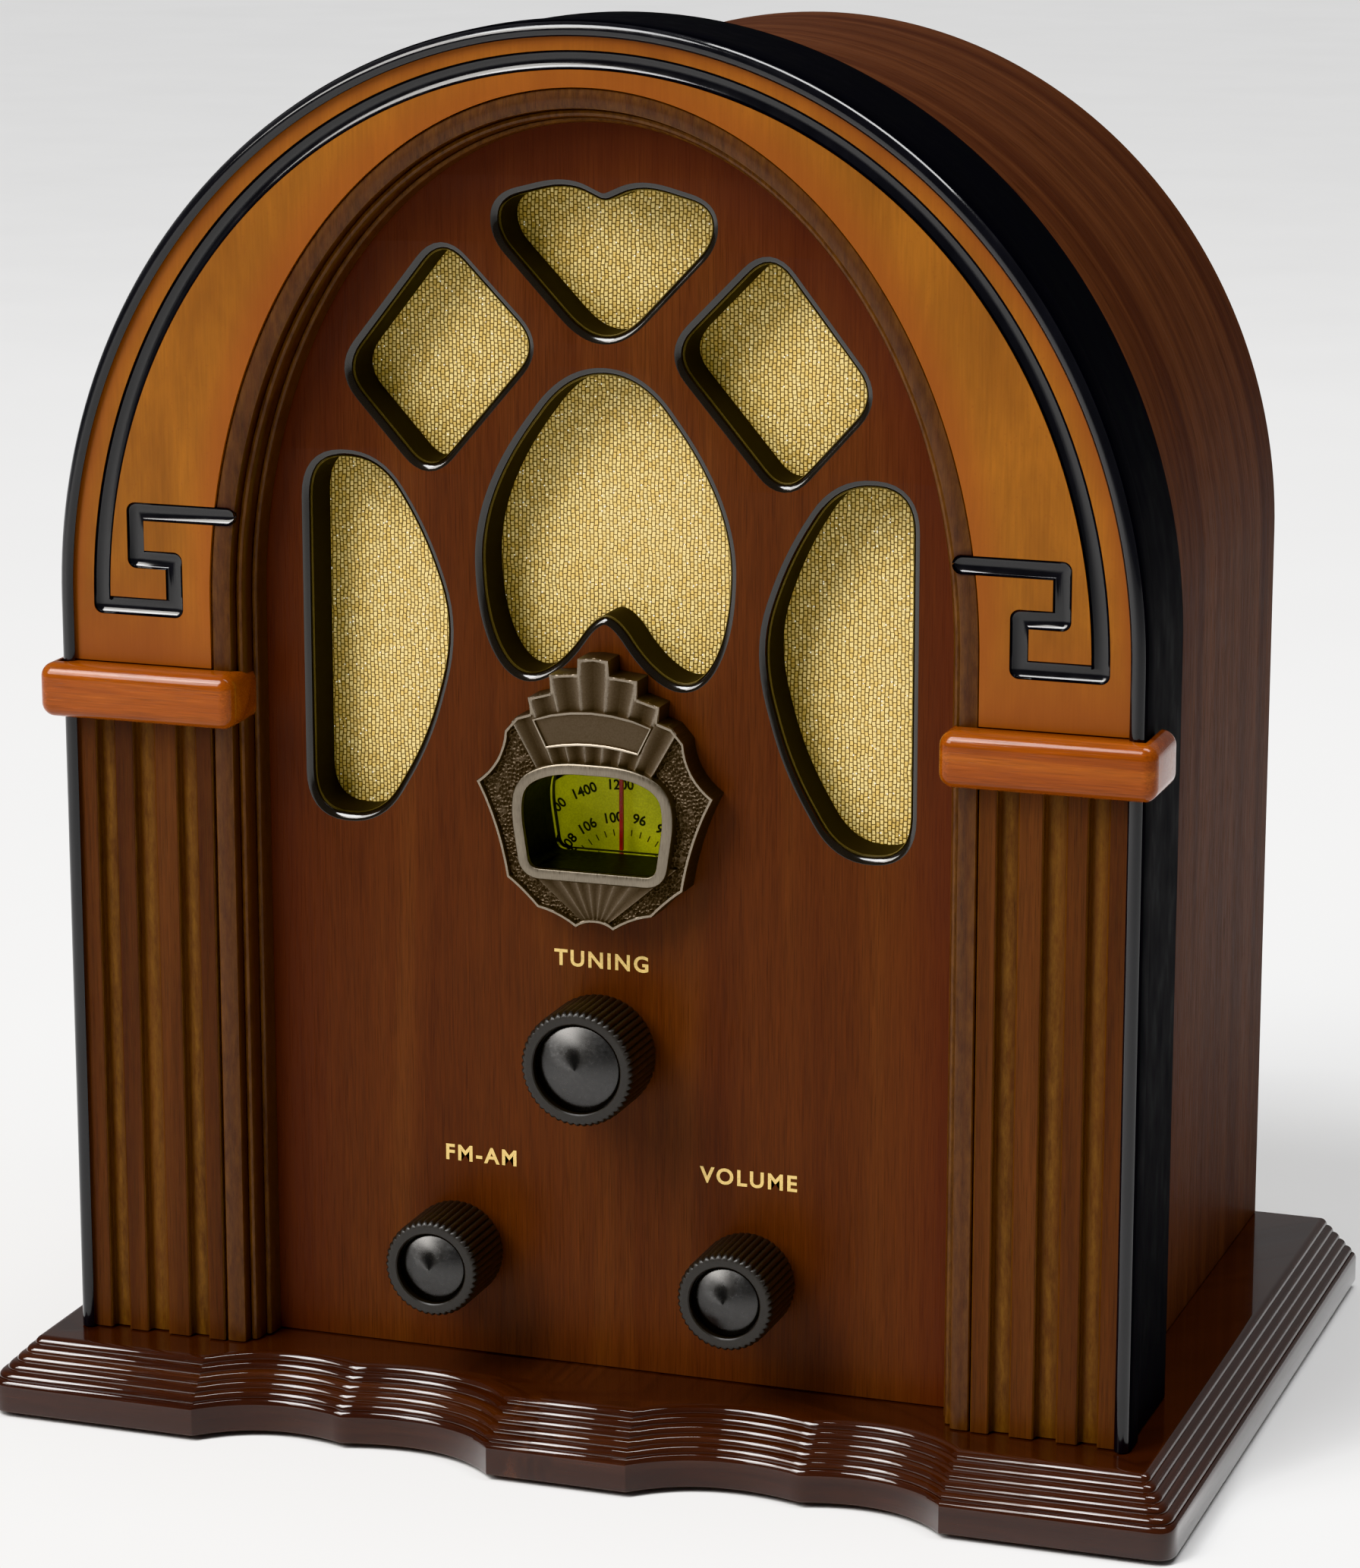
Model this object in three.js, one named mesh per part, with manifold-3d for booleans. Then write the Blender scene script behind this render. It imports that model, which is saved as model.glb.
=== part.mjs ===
// Cathedral radio: a bent-plywood arch cabinet on a serpentine moulded base, in millimetres.
// +Z is up, the front faces -Y and +X is to the right.
// The origin is the middle of the footprint, on the floor.
// Pieces are laid out from the front face of the arch panel (y = 0, y growing backwards), and the finished
// assembly is then moved so that its footprint is centred on the origin.
import * as THREE from "three";
import { mergeVertices } from "three/addons/utils/BufferGeometryUtils.js";
import Module from "manifold-3d";

const wasm = await Module();
wasm.setup();

// ---- Driving dimensions ----
const CLEARANCE = 0.3; // between neighbouring pieces
const SPRING_Z = 177.2; // height where the straight sides turn into the arch
const LEDGE_Z = 15.8; // top of the base, where the cabinet stands
const OUTER = { w: 115, h: 121.2 }; // front arch panel's outer edge: half width, and rise above SPRING_Z
const INNER = { w: 83, h: 110 }; // front arch panel's inner edge
const WRAP = { w: 107, h: 112.9 }; // bent plywood's outside
const WRAP_WALL = 8;
const ARCH_STEPS = 32; // straight pieces in each arch

const FACE_DEPTH = 11.7; // arch panel and pilasters, from y = 0
const PANEL = { front: 12, back: 23 }; // recessed grille panel
const EDGE_BACK = 33.4; // black band's back edge
const WRAP_FRONT = PANEL.back + CLEARANCE;
const CABINET_BACK = 160;
const FOOT_Z = 1.2;
const FRONT_REACH = 19.7; // how far the base's flats stand in front of the arch panel

const CAPITAL = { inner: 76, outer: 120.5, front: -6, low: 152.2, high: 163.8, lug: 13.5 };
const FLUTES = [
  [87.1, 91.5],
  [96.6, 101.4],
  [105.8, 110],
];
const FLUTE_DEPTH = 2.2;

const LINE = { width: 3.3, depth: 1.6, inset: 7.4, rise: 115.4 }; // routed line in the arch panel
const MEANDER = { foot: 176.2, middle: 186.3, top: 196.4, inner: 91, turn: 99.6 };

const DIAL = { z: 117.3, r: 27.5, front: 24.6 };
const TUNING = { x: 0, z: 86.8, r: 12.4, front: -6.2, insert: 9.2 };
const MODE = { x: -32.5, z: 40.2, r: 10.5, front: -7, insert: 7.3 };
const VOLUME = { x: 32.5, z: 40.2, r: 10.5, front: -7, insert: 7.3 };
const KNOB_BACK = 9;
const SHAFT_R = 3;
const KNOB_FLUTES = 30;

const PINION_TEETH = 12;
const GEAR_TEETH = 36;
const TOOTH_MODULE = (2 * (DIAL.z - TUNING.z)) / (PINION_TEETH + GEAR_TEETH);
const PRESSURE = THREE.MathUtils.degToRad(25);
const BACKLASH = 0.25;
const GEAR_Y = { front: 28, back: 31 };

const SPEAKER_Z = 204;
const BRACKET = { w: 48, low: 22, high: 124, tab: 150, front: 35.5, back: 37 }; // the tab carries the lamp
const BOARD = { w: 85, front: 62, back: 148, low: 24, high: 25.6 };
const REAR = { front: 153, back: 156, w: 98.7, h: 104.6 };
const SCREWS = [
  [-92.5, 40],
  [92.5, 40],
  [-92.5, 150],
  [92.5, 150],
];

// ---- Geometry helpers ----

// Merges a geometry's shared vertices, drops collapsed triangles and turns its faces outwards.
function closed(geometry) {
  const bare = new THREE.BufferGeometry();
  const source = geometry.index ? geometry.toNonIndexed() : geometry;
  bare.setAttribute("position", source.getAttribute("position"));
  const merged = mergeVertices(bare, 1e-3);
  const index = [];
  for (let i = 0; i < merged.index.count; i += 3) {
    const [a, b, c] = [0, 1, 2].map((k) => merged.index.getX(i + k));
    if (a !== b && b !== c && c !== a) index.push(a, b, c);
  }
  const at = (i) => new THREE.Vector3().fromBufferAttribute(merged.getAttribute("position"), i);
  let volume = 0;
  for (let i = 0; i < index.length; i += 3)
    volume += at(index[i]).dot(at(index[i + 1]).cross(at(index[i + 2])));
  if (volume < 0) index.reverse();
  return merged.setIndex(index);
}

function solidOf(geometry) {
  const g = closed(geometry);
  return new wasm.Manifold(
    new wasm.Mesh({
      numProp: 3,
      vertProperties: new Float32Array(g.getAttribute("position").array),
      triVerts: new Uint32Array(g.index.array),
    }),
  );
}

function geometryOf(solid) {
  const mesh = solid.getMesh();
  const g = new THREE.BufferGeometry();
  g.setAttribute("position", new THREE.BufferAttribute(mesh.vertProperties, 3));
  return g.setIndex(new THREE.BufferAttribute(mesh.triVerts, 1));
}

function cut(geometry, ...tools) {
  return geometryOf(tools.reduce((s, tool) => s.subtract(solidOf(tool)), solidOf(geometry)));
}

function join(geometry, ...others) {
  return geometryOf(others.reduce((s, other) => s.add(solidOf(other)), solidOf(geometry)));
}

function shapeOf(points) {
  return new THREE.Shape(points.map(([u, v]) => new THREE.Vector2(u, v)));
}

// A front-view outline of (x, z) points, given thickness from y0 to y1.
function plate(points, y0, y1) {
  const options = { depth: y1 - y0, bevelEnabled: false };
  return closed(new THREE.ExtrudeGeometry(shapeOf(points), options).rotateX(Math.PI / 2).translate(0, y1, 0));
}

// A plan-view outline of (x, y) points, given height from z0 to z1.
function prism(points, z0, z1) {
  const options = { depth: z1 - z0, bevelEnabled: false };
  return closed(new THREE.ExtrudeGeometry(shapeOf(points), options).translate(0, 0, z0));
}

function block(x0, x1, y0, y1, z0, z1) {
  const g = new THREE.BoxGeometry(x1 - x0, y1 - y0, z1 - z0);
  return g.translate((x0 + x1) / 2, (y0 + y1) / 2, (z0 + z1) / 2);
}

// A rod along Y.
function rod(x, z, r, y0, y1, segments = 16) {
  return new THREE.CylinderGeometry(r, r, y1 - y0, segments).translate(x, (y0 + y1) / 2, z);
}

// An upright rod.
function post(x, y, r, z0, z1, segments = 16) {
  const upright = new THREE.CylinderGeometry(r, r, z1 - z0, segments).rotateX(Math.PI / 2);
  return upright.translate(x, y, (z0 + z1) / 2);
}

// A profile of (radius, y) points turned about the Y axis through (x, z). A profile off the axis is closed.
function turned(profile, x, z, segments = 20) {
  const points = profile.map(([r, y]) => new THREE.Vector2(r, y));
  const onAxis = profile[0][0] === 0 && profile[profile.length - 1][0] === 0;
  if (!onAxis) points.push(points[0].clone());
  return closed(new THREE.LatheGeometry(points, segments).translate(x, 0, z));
}

// The arch of half width w and rise h, from its left foot over the top to its right foot.
function archPoints({ w, h }, footZ, steps = ARCH_STEPS) {
  const points = [[-w, footZ]];
  for (let i = 0; i <= steps; i++) {
    const angle = Math.PI - (i * Math.PI) / steps;
    points.push([w * Math.cos(angle), SPRING_Z + h * Math.sin(angle)]);
  }
  points.push([w, footZ]);
  return points;
}

const grown = ({ w, h }, by) => ({ w: w + by, h: h + by });

function archPlate(arch, footZ, y0, y1) {
  return plate(archPoints(arch, footZ), y0, y1);
}

function archRing(outside, inside, footZ, y0, y1) {
  return cut(archPlate(outside, footZ, y0, y1), archPlate(inside, footZ - 10, y0 - 1, y1 + 1));
}

// Joins rings of matching points with side faces, and closes both ends with the ring's own outline.
function loft(rings, outline) {
  const count = outline.length;
  const position = rings.flat(2);
  const index = [];
  for (let r = 0; r + 1 < rings.length; r++)
    for (let i = 0; i < count; i++) {
      const [a, b] = [r * count + i, r * count + ((i + 1) % count)];
      index.push(a, b, b + count, a, b + count, a + count);
    }
  const end = outline.map(([u, v]) => new THREE.Vector2(u, v));
  const last = (rings.length - 1) * count;
  for (const [a, b, c] of THREE.ShapeUtils.triangulateShape(end, [])) {
    const [ab, ac] = [end[b].clone().sub(end[a]), end[c].clone().sub(end[a])];
    const turn = ab.cross(ac);
    const [q, r] = turn > 0 === THREE.ShapeUtils.isClockWise(end) ? [c, b] : [b, c];
    index.push(a, r, q, last + a, last + q, last + r);
  }
  const g = new THREE.BufferGeometry();
  g.setAttribute("position", new THREE.Float32BufferAttribute(position, 3));
  return closed(g.setIndex(index));
}

// Sweeps a section of (outward offset, y) points along an arch, from foot to foot.
function archSweep(section, arch, footZ) {
  const rings = [];
  const stations = archPoints(arch, footZ).length;
  for (let s = 0; s < stations; s++)
    rings.push(
      section.map(([out, y]) => {
        const [x, z] = archPoints(grown(arch, out), footZ)[s];
        return [x, y, z];
      }),
    );
  return loft(rings, section);
}

// A curve through a corner point: three-point Bezier, without its first point.
function bend(from, control, to, steps) {
  const curve = new THREE.QuadraticBezierCurve(
    new THREE.Vector2(...from),
    new THREE.Vector2(...control),
    new THREE.Vector2(...to),
  );
  return curve.getPoints(steps).slice(1).map((p) => [p.x, p.y]);
}

// Rounds each corner [x, z, reach] of a closed outline with a short curve that starts and ends `reach` along
// the two edges, or just short of their middles.
function rounded(corners, steps = 4) {
  return corners.flatMap(([x, z, radius], i) => {
    const here = new THREE.Vector2(x, z);
    const before = new THREE.Vector2(...corners[(i + corners.length - 1) % corners.length]);
    const after = new THREE.Vector2(...corners[(i + 1) % corners.length]);
    const toward = (other) => {
      const edge = other.sub(here);
      return here.clone().add(edge.setLength(Math.min(radius, 0.48 * edge.length())));
    };
    const [start, end] = [toward(before), toward(after)];
    return [[start.x, start.y], ...bend([start.x, start.y], [x, z], [end.x, end.y], steps)];
  });
}

const mirrored = (points) => points.map(([x, ...rest]) => [-x, ...rest]).reverse();

// Half an outline, from the top centre round to the bottom centre, completed by its mirror image.
const bothSides = (half) => [...half, ...mirrored(half).slice(1, -1)];

// ---- Materials ----

const looks = {
  walnut: [0x4a2818, 0.45, 0],
  baseWood: [0x35190f, 0.25, 0],
  redWalnut: [0x5a2413, 0.4, 0],
  flutedWood: [0x4b2912, 0.4, 0],
  amber: [0xb8671b, 0.35, 0],
  capitalAmber: [0xa8521a, 0.2, 0],
  lacquer: [0x0b0b0d, 0.15, 0],
  cloth: [0xc8aa4e, 0.8, 0.1],
  pewter: [0x6b6058, 0.4, 0.9],
  blackPlastic: [0x17171a, 0.5, 0],
  glossBlack: [0x101013, 0.2, 0],
  clear: [0xdfe8ee, 0.05, 0],
  dialYellow: [0xc9c22a, 0.5, 0],
  pointerRed: [0xb01818, 0.4, 0],
  brass: [0xb8934a, 0.3, 1],
  steel: [0xa8a8ac, 0.35, 1],
  board: [0x1d5a38, 0.5, 0],
  fibreboard: [0x8a6a48, 0.8, 0],
  paper: [0x2a2a2c, 0.9, 0],
  foam: [0x222224, 0.9, 0],
  ferrite: [0x3a3a3e, 0.7, 0],
  copper: [0xb06a3a, 0.35, 1],
  rubber: [0x1a1a1a, 0.9, 0],
};

const radio = new THREE.Group();
const assembly = new THREE.Group();
radio.add(assembly);

function add(name, look, geometry) {
  const [color, roughness, metalness] = looks[look];
  const mesh = new THREE.Mesh(geometry, new THREE.MeshStandardMaterial({ color, roughness, metalness }));
  mesh.name = name;
  assembly.add(mesh);
}

// ---- Base ----

// The plinth's plan at a share of the way from the slab's face (0) to the ledge's edge (1).
function plinthPlan(share) {
  const mix = (slab, ledge) => THREE.MathUtils.lerp(slab, ledge, share);
  const half = mix(130.8, 122);
  const front = -mix(FRONT_REACH, 8.7);
  const [kink, cusp, middle] = [mix(82.5, 84), 51, mix(15.4, 13.6)];
  const cuspY = front + 6.5;
  const corner = mix(5, 1);
  const rightHalf = [
    [0, front],
    [middle, front],
    ...bend([middle, front], [middle + 13.4, front + 13.5], [cusp, cuspY], 6),
    ...bend([cusp, cuspY], [kink - 12.5, front + 13.1], [kink, front], 6),
    [half - corner, front],
    ...bend([half - corner, front], [half, front], [half, front + corner], 4),
    [half, CABINET_BACK],
    [0, CABINET_BACK],
  ];
  return bothSides(rightHalf);
}

function basePlinth() {
  const slabTop = 8.35;
  const steps = 5;
  const levels = [
    [0, FOOT_Z + 0.1],
    [0, slabTop - 0.8],
    [0.08, slabTop],
  ];
  for (let i = 0; i < steps; i++) {
    const z = slabTop + ((i + 1) * (LEDGE_Z - slabTop)) / steps;
    levels.push([0.1 + (0.88 * i) / steps, z - 0.4], [0.1 + (0.88 * (i + 0.75)) / steps, z]);
  }
  levels.push([1, LEDGE_Z]);
  const rings = levels.map(([share, z]) => plinthPlan(share).map(([x, y]) => [x, y, z]));
  return loft(rings, plinthPlan(0));
}

add("base_plinth", "baseWood", basePlinth());
const FEET = { front_left: [-110, 4], front_right: [110, 4], rear_left: [-110, 142], rear_right: [110, 142] };
for (const [place, [x, y]] of Object.entries(FEET)) {
  add("foot_" + place, "rubber", post(x, y, 9, 0, FOOT_Z));
}

// ---- Cabinet ----

add(
  "cabinet_wrap",
  "walnut",
  archRing(WRAP, grown(WRAP, -WRAP_WALL), LEDGE_Z + CLEARANCE, WRAP_FRONT, CABINET_BACK),
);

// Black band: a rounded bead at the front, then a flat that covers the joint with the plywood.
const EDGE_SECTION = [
  [0.2, -0.8],
  [0.7, -1.7],
  [1.6, -1.7],
  [2.1, -0.9],
  [2.1, 6.4],
  [1.2, 7.4],
  [1.2, EDGE_BACK],
  [WRAP.w - OUTER.w + CLEARANCE, EDGE_BACK],
  [WRAP.w - OUTER.w + CLEARANCE, WRAP_FRONT],
  [-3.6, WRAP_FRONT],
  [-3.6, FACE_DEPTH + 0.2],
  [0.2, FACE_DEPTH + 0.2],
];
add("edge_moulding", "lacquer", archSweep(EDGE_SECTION, OUTER, LEDGE_Z + CLEARANCE));

// The routed line: an arch that ends on each side in a squared meander running off the panel's inner edge.
function routedLine() {
  const half = LINE.width / 2;
  const path = { w: OUTER.w - LINE.inset, h: LINE.rise };
  const [y0, y1] = [-1, LINE.depth];
  const arch = archRing(grown(path, half), grown(path, -half), MEANDER.foot - half, y0, y1);
  const strokes = [
    [path.w, MEANDER.foot, MEANDER.inner, MEANDER.foot],
    [MEANDER.inner, MEANDER.foot, MEANDER.inner, MEANDER.middle],
    [MEANDER.inner, MEANDER.middle, MEANDER.turn, MEANDER.middle],
    [MEANDER.turn, MEANDER.middle, MEANDER.turn, MEANDER.top],
    [MEANDER.turn, MEANDER.top, INNER.w - 6, MEANDER.top],
  ];
  const bars = [-1, 1].flatMap((side) =>
    strokes.map(([xa, za, xb, zb]) => {
      const [low, high] = [Math.min(side * xa, side * xb) - half, Math.max(side * xa, side * xb) + half];
      return block(low, high, y0, y1, Math.min(za, zb) - half, Math.max(za, zb) + half);
    }),
  );
  return join(arch, ...bars);
}
const LINE_TOOL = routedLine();
const archPanel = archRing(grown(OUTER, -0.1), INNER, CAPITAL.high + CLEARANCE, 0, FACE_DEPTH);
add("arch_panel", "amber", cut(archPanel, LINE_TOOL));

// Stepped moulding round the recessed panel, from the ledge over the arch and down.
const GRILLE_SECTION = [
  [-0.2, 0.4],
  [-3.6, 0.4],
  [-4.2, 2.6],
  [-5.4, 5],
  [-5.4, 7],
  [-7.4, 9.5],
  [-7.8, FACE_DEPTH],
  [-0.2, FACE_DEPTH],
];
add("grille_moulding", "flutedWood", archSweep(GRILLE_SECTION, INNER, LEDGE_Z + CLEARANCE));

function pilaster(side) {
  const [inner, outer] = [INNER.w + CLEARANCE, OUTER.w - 0.1];
  const front = FLUTES.flatMap(([a, b]) => [
    [a, 0],
    [a, FLUTE_DEPTH],
    [b, FLUTE_DEPTH],
    [b, 0],
  ]);
  const plan = [[inner, FACE_DEPTH], [inner, 0], ...front, [outer, 0], [outer, FACE_DEPTH]];
  return prism(plan.map(([x, y]) => [side * x, y]), LEDGE_Z + CLEARANCE, CAPITAL.low - CLEARANCE);
}

// A block between pilaster and arch panel whose two lugs reach back over the mouldings on either side.
function capital(side) {
  const band = OUTER.w + 0.2;
  const plan = [
    [CAPITAL.outer, CAPITAL.front],
    [CAPITAL.inner, CAPITAL.front],
    [CAPITAL.inner, 8.2],
    [77.3, 6.8],
    [77.3, 4.6],
    [78.5, 2.2],
    [79.1, 0.1],
    [INNER.w + 0.1, 0.1],
    [INNER.w + 0.1, FACE_DEPTH],
    [band - CLEARANCE, FACE_DEPTH],
    [band - CLEARANCE, -2],
    [band + 2.3, -2],
    [band + 2.3, CAPITAL.lug],
    [CAPITAL.outer, CAPITAL.lug],
  ];
  return prism(plan.map(([x, y]) => [side * x, y]), CAPITAL.low, CAPITAL.high);
}
for (const [name, side] of [["left", -1], ["right", 1]]) {
  add("pilaster_" + name, "flutedWood", pilaster(side));
  add("capital_" + name, "capitalAmber", capital(side));
}

// ---- Grille panel, cloth and baffle ----

// The cut-outs: a fan at the top, a diamond each side, an egg with a notched foot, and two tall bows.
const FAN_SIDE = [
  [8, 266.6, 6],
  [22.5, 262.8, 4.5],
  [22.8, 256, 4],
  [4, 236.2, 6],
];
const FAN = rounded([[0, 263, 1], ...FAN_SIDE, ...mirrored(FAN_SIDE)]);
const DIAMOND = rounded([
  [35.3, 254.5, 6.5],
  [57.3, 226.6, 6.5],
  [38.4, 205.6, 6.5],
  [14.6, 233.4, 6.5],
]);
const BOW = rounded([
  [65.3, 207.9, 8.5],
  [50, 208.4, 8],
  [40, 193, 9],
  [33.4, 173.5, 14],
  [40, 150, 9],
  [50.5, 132.2, 8],
  [65.3, 132.7, 8.5],
]);
const EGG = bothSides([
  [0, 228],
  ...bend([0, 228], [8, 228], [14, 219.5], 5),
  ...bend([14, 219.5], [27, 203], [26.7, 188], 7),
  ...bend([26.7, 188], [26.5, 177], [23.2, 170.6], 4),
  ...bend([23.2, 170.6], [19, 162.6], [12.5, 166.8], 5),
  ...bend([12.5, 166.8], [9, 169], [5.8, 173.5], 3),
  ...bend([5.8, 173.5], [2.6, 178.3], [0, 178.4], 3),
]);
const CUT_OUTS = [FAN, DIAMOND, mirrored(DIAMOND), EGG, BOW, mirrored(BOW)];

// The dial window's outline, with a low arched top, grown by a margin on every side.
function windowOutline(margin) {
  const side = [
    [7.5 + 0.5 * margin, 146.7 + margin, 5],
    [14.4 + 0.7 * margin, 143.9 + 0.8 * margin, 5],
    [15.5 + margin, 138.5, 4],
    [13.7 + margin, 126.3 - margin, 2.2 + 0.5 * margin],
  ];
  return rounded([...side, ...mirrored(side)]);
}

const TUNNEL_WALL = 1.2; // tube between the escutcheon and the dial
const TUNNEL_FRONT = 9;
const panelArch = { w: OUTER.w - 4, h: OUTER.h - 4 };
const panelTools = [
  ...CUT_OUTS.map((outline) => plate(outline, PANEL.front - 1, PANEL.back + 1)),
  plate(windowOutline(TUNNEL_WALL + 2 * CLEARANCE), PANEL.front - 1, PANEL.back + 1),
  ...[TUNING, MODE, VOLUME].map(({ x, z }) => rod(x, z, 5.5, PANEL.front - 1, PANEL.back + 1)),
];
const panelSheet = archPlate(panelArch, LEDGE_Z + CLEARANCE, PANEL.front, PANEL.back);
add("grille_panel", "redWalnut", cut(panelSheet, ...panelTools));

// The cloth and the baffle share an outline that leaves room for the dial below the speaker.
function behindPanel(arch, foot, notch, notchTop, y0, y1) {
  const sheet = archPlate(arch, foot, y0, y1);
  return cut(sheet, block(-notch, notch, y0 - 1, y1 + 1, foot - 1, notchTop));
}
const clothSheet = behindPanel({ w: 76, h: 96 }, 127, 29, 158, PANEL.back + 0.2, PANEL.back + 0.7);
add("speaker_cloth", "cloth", clothSheet);
const baffle = behindPanel({ w: 96, h: 102 }, 126, 30, 150.5, PANEL.back + 1, 32);
add("baffle_board", "fibreboard", cut(baffle, rod(0, SPEAKER_Z, 46, 20, 40, 30)));

// ---- Speaker ----

// Profiles of (radius, y) about the speaker's axis.
const basket = [
  [46, 32.3],
  [51, 32.3],
  [51, 34],
  [47.5, 34],
  [47.5, 40.5],
  [43.2, 40.5],
  [27.4, 59.5],
  [13, 59.5],
  [13, 58],
  [26.2, 58],
  [42, 39],
  [46, 39],
];
const magnet = [
  [0, 60.5],
  [9.9, 60.5],
  [9.9, 69],
  [12.4, 69],
  [12.4, 59.8],
  [30, 59.8],
  [30, 76],
  [0, 76],
];
const cone = [
  [0, 49.5],
  [6, 50.3],
  [11, 52.5],
  [36.1, 38],
  [36.1, 38.9],
  [11.6, 54.8],
  [11.6, 66],
  [10.6, 66],
  [10.6, 53.4],
  [6, 51.1],
  [0, 50.3],
];
const surround = [
  [36.4, 38],
  [37.5, 36.3],
  [39.5, 35.4],
  [41.5, 36.3],
  [42.6, 38],
  [45.7, 38],
  [45.7, 38.8],
  [42.2, 38.8],
  [41, 37.2],
  [39.5, 36.3],
  [38, 37.2],
  [36.6, 38.8],
];
add("speaker_basket", "steel", turned(basket, 0, SPEAKER_Z, 24));
add("speaker_magnet", "ferrite", turned(magnet, 0, SPEAKER_Z));
add("speaker_cone", "paper", turned(cone, 0, SPEAKER_Z, 24));
add("speaker_surround", "foam", turned(surround, 0, SPEAKER_Z, 24));

// ---- Dial surround ----

const ESCUTCHEON = bothSides([
  [0, 171.1],
  [3.3, 170.8],
  [3.5, 167.6],
  [9.6, 167],
  [9.5, 163.3],
  [14.3, 161.9],
  [14, 158.6],
  [17, 157.6],
  [19.6, 154.6],
  ...bend([19.6, 154.6], [20.1, 147.6], [26, 143.5], 4),
  ...bend([26, 143.5], [21.2, 134.5], [19.4, 123.4], 5),
  ...bend([19.4, 123.4], [16.2, 121.2], [12.6, 117.4], 3),
  ...bend([12.6, 117.4], [8.2, 116.6], [4.1, 113.8], 3),
  ...bend([4.1, 113.8], [2.2, 115.2], [0, 115.1], 2),
]);
const BADGE_FRONT = 5.6;
const FRAME = { front: 3.5, width: 2.4 };
const escutcheonPlate = plate(ESCUTCHEON, BADGE_FRONT, FACE_DEPTH);
const windowFrame = plate(windowOutline(FRAME.width), FRAME.front, FACE_DEPTH);
const windowHole = plate(windowOutline(0), FRAME.front - 1, PANEL.front);
const tunnelSeat = plate(windowOutline(TUNNEL_WALL + CLEARANCE), TUNNEL_FRONT - CLEARANCE, PANEL.front);
add("escutcheon", "pewter", cut(join(escutcheonPlate, windowFrame), windowHole, tunnelSeat));
const tunnelHole = plate(windowOutline(0), 0, PANEL.back + 2);
const tunnelBody = plate(windowOutline(TUNNEL_WALL), TUNNEL_FRONT, PANEL.back - 0.2);
add("dial_tunnel", "blackPlastic", cut(tunnelBody, tunnelHole));
add("dial_window", "clear", plate(windowOutline(-CLEARANCE), 19.4, 20.6));
add("dial_pointer", "pointerRed", block(-0.4, 0.4, 21.6, 22.3, 126.8, 145.8));

// ---- Dial drive ----

// An involute gear's outline about its own centre, turned by `turn` radians.
function gearOutline(teeth, turn) {
  const pitch = (TOOTH_MODULE * teeth) / 2;
  const base = pitch * Math.cos(PRESSURE);
  const tip = pitch + 0.85 * TOOTH_MODULE;
  const root = pitch - 1.15 * TOOTH_MODULE;
  const involute = (r) => {
    const roll = Math.sqrt(Math.max(0, (r / base) ** 2 - 1));
    return roll - Math.acos(Math.min(1, base / r));
  };
  const halfAtPitch = Math.PI / (2 * teeth) - BACKLASH / (2 * pitch);
  const halfAt = (r) => halfAtPitch + involute(pitch) - involute(Math.max(r, base));
  const radii = [root, Math.max(root + 0.1, base), (base + tip) / 2, tip];
  const points = [];
  for (let t = 0; t < teeth; t++) {
    const middle = turn + (2 * Math.PI * t) / teeth;
    const side = (sign, list) => {
      for (const r of list) {
        const angle = middle + sign * halfAt(r);
        points.push([r * Math.sin(angle), r * Math.cos(angle)]);
      }
    };
    side(-1, radii);
    side(1, [...radii].reverse());
  }
  return points;
}

function gear(teeth, turn, x, z) {
  const outline = gearOutline(teeth, turn).map(([u, v]) => [x + u, z + v]);
  return plate(outline, GEAR_Y.front, GEAR_Y.back);
}

// At rest a tooth of the pinion points up into a gap of the dial's gear.
const pinion = cut(gear(PINION_TEETH, 0, TUNING.x, TUNING.z), rod(TUNING.x, TUNING.z, SHAFT_R + 0.2, 20, 40));
const gapTurn = Math.PI / GEAR_TEETH + Math.PI;
const dialGear = join(
  gear(GEAR_TEETH, gapTurn, 0, DIAL.z),
  rod(0, DIAL.z, 5, DIAL.front + 1.3, GEAR_Y.front + 0.5),
  rod(0, DIAL.z, SHAFT_R, GEAR_Y.back - 0.5, 44),
);
add("tuning_pinion", "brass", pinion);
add("dial_gear", "brass", dialGear);
add("dial_disc", "dialYellow", rod(0, DIAL.z, DIAL.r, DIAL.front, DIAL.front + 1, 40));

// ---- Knobs and shafts ----

function knob({ x, z, r, front, insert }) {
  const outline = [];
  for (let i = 0; i < KNOB_FLUTES * 2; i++) {
    const angle = (Math.PI * i) / KNOB_FLUTES;
    const radius = i % 2 ? r - 0.45 : r;
    outline.push([x + radius * Math.sin(angle), z + radius * Math.cos(angle)]);
  }
  const recess = rod(x, z, insert + CLEARANCE, front - 1, front + 2.6, 24);
  const bore = rod(x, z, SHAFT_R + 0.2, front + 3.5, KNOB_BACK + 1);
  return cut(plate(outline, front, KNOB_BACK), recess, bore);
}

// A shallow dished cone set into the knob's face.
function knobInsert({ x, z, front, insert }) {
  const profile = [
    [0, front + 1.9],
    [insert, front + 0.2],
    [insert, front + 2.3],
    [0, front + 2.3],
  ];
  return turned(profile, x, z, 24);
}

for (const [name, place, end] of [["tuning", TUNING, 41], ["mode", MODE, 42], ["volume", VOLUME, 42]]) {
  add(name + "_knob", "blackPlastic", knob(place));
  add(name + "_knob_insert", "glossBlack", knobInsert(place));
  add(name + "_shaft", "steel", rod(place.x, place.z, SHAFT_R, place.front + 3.9, end));
}

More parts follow.
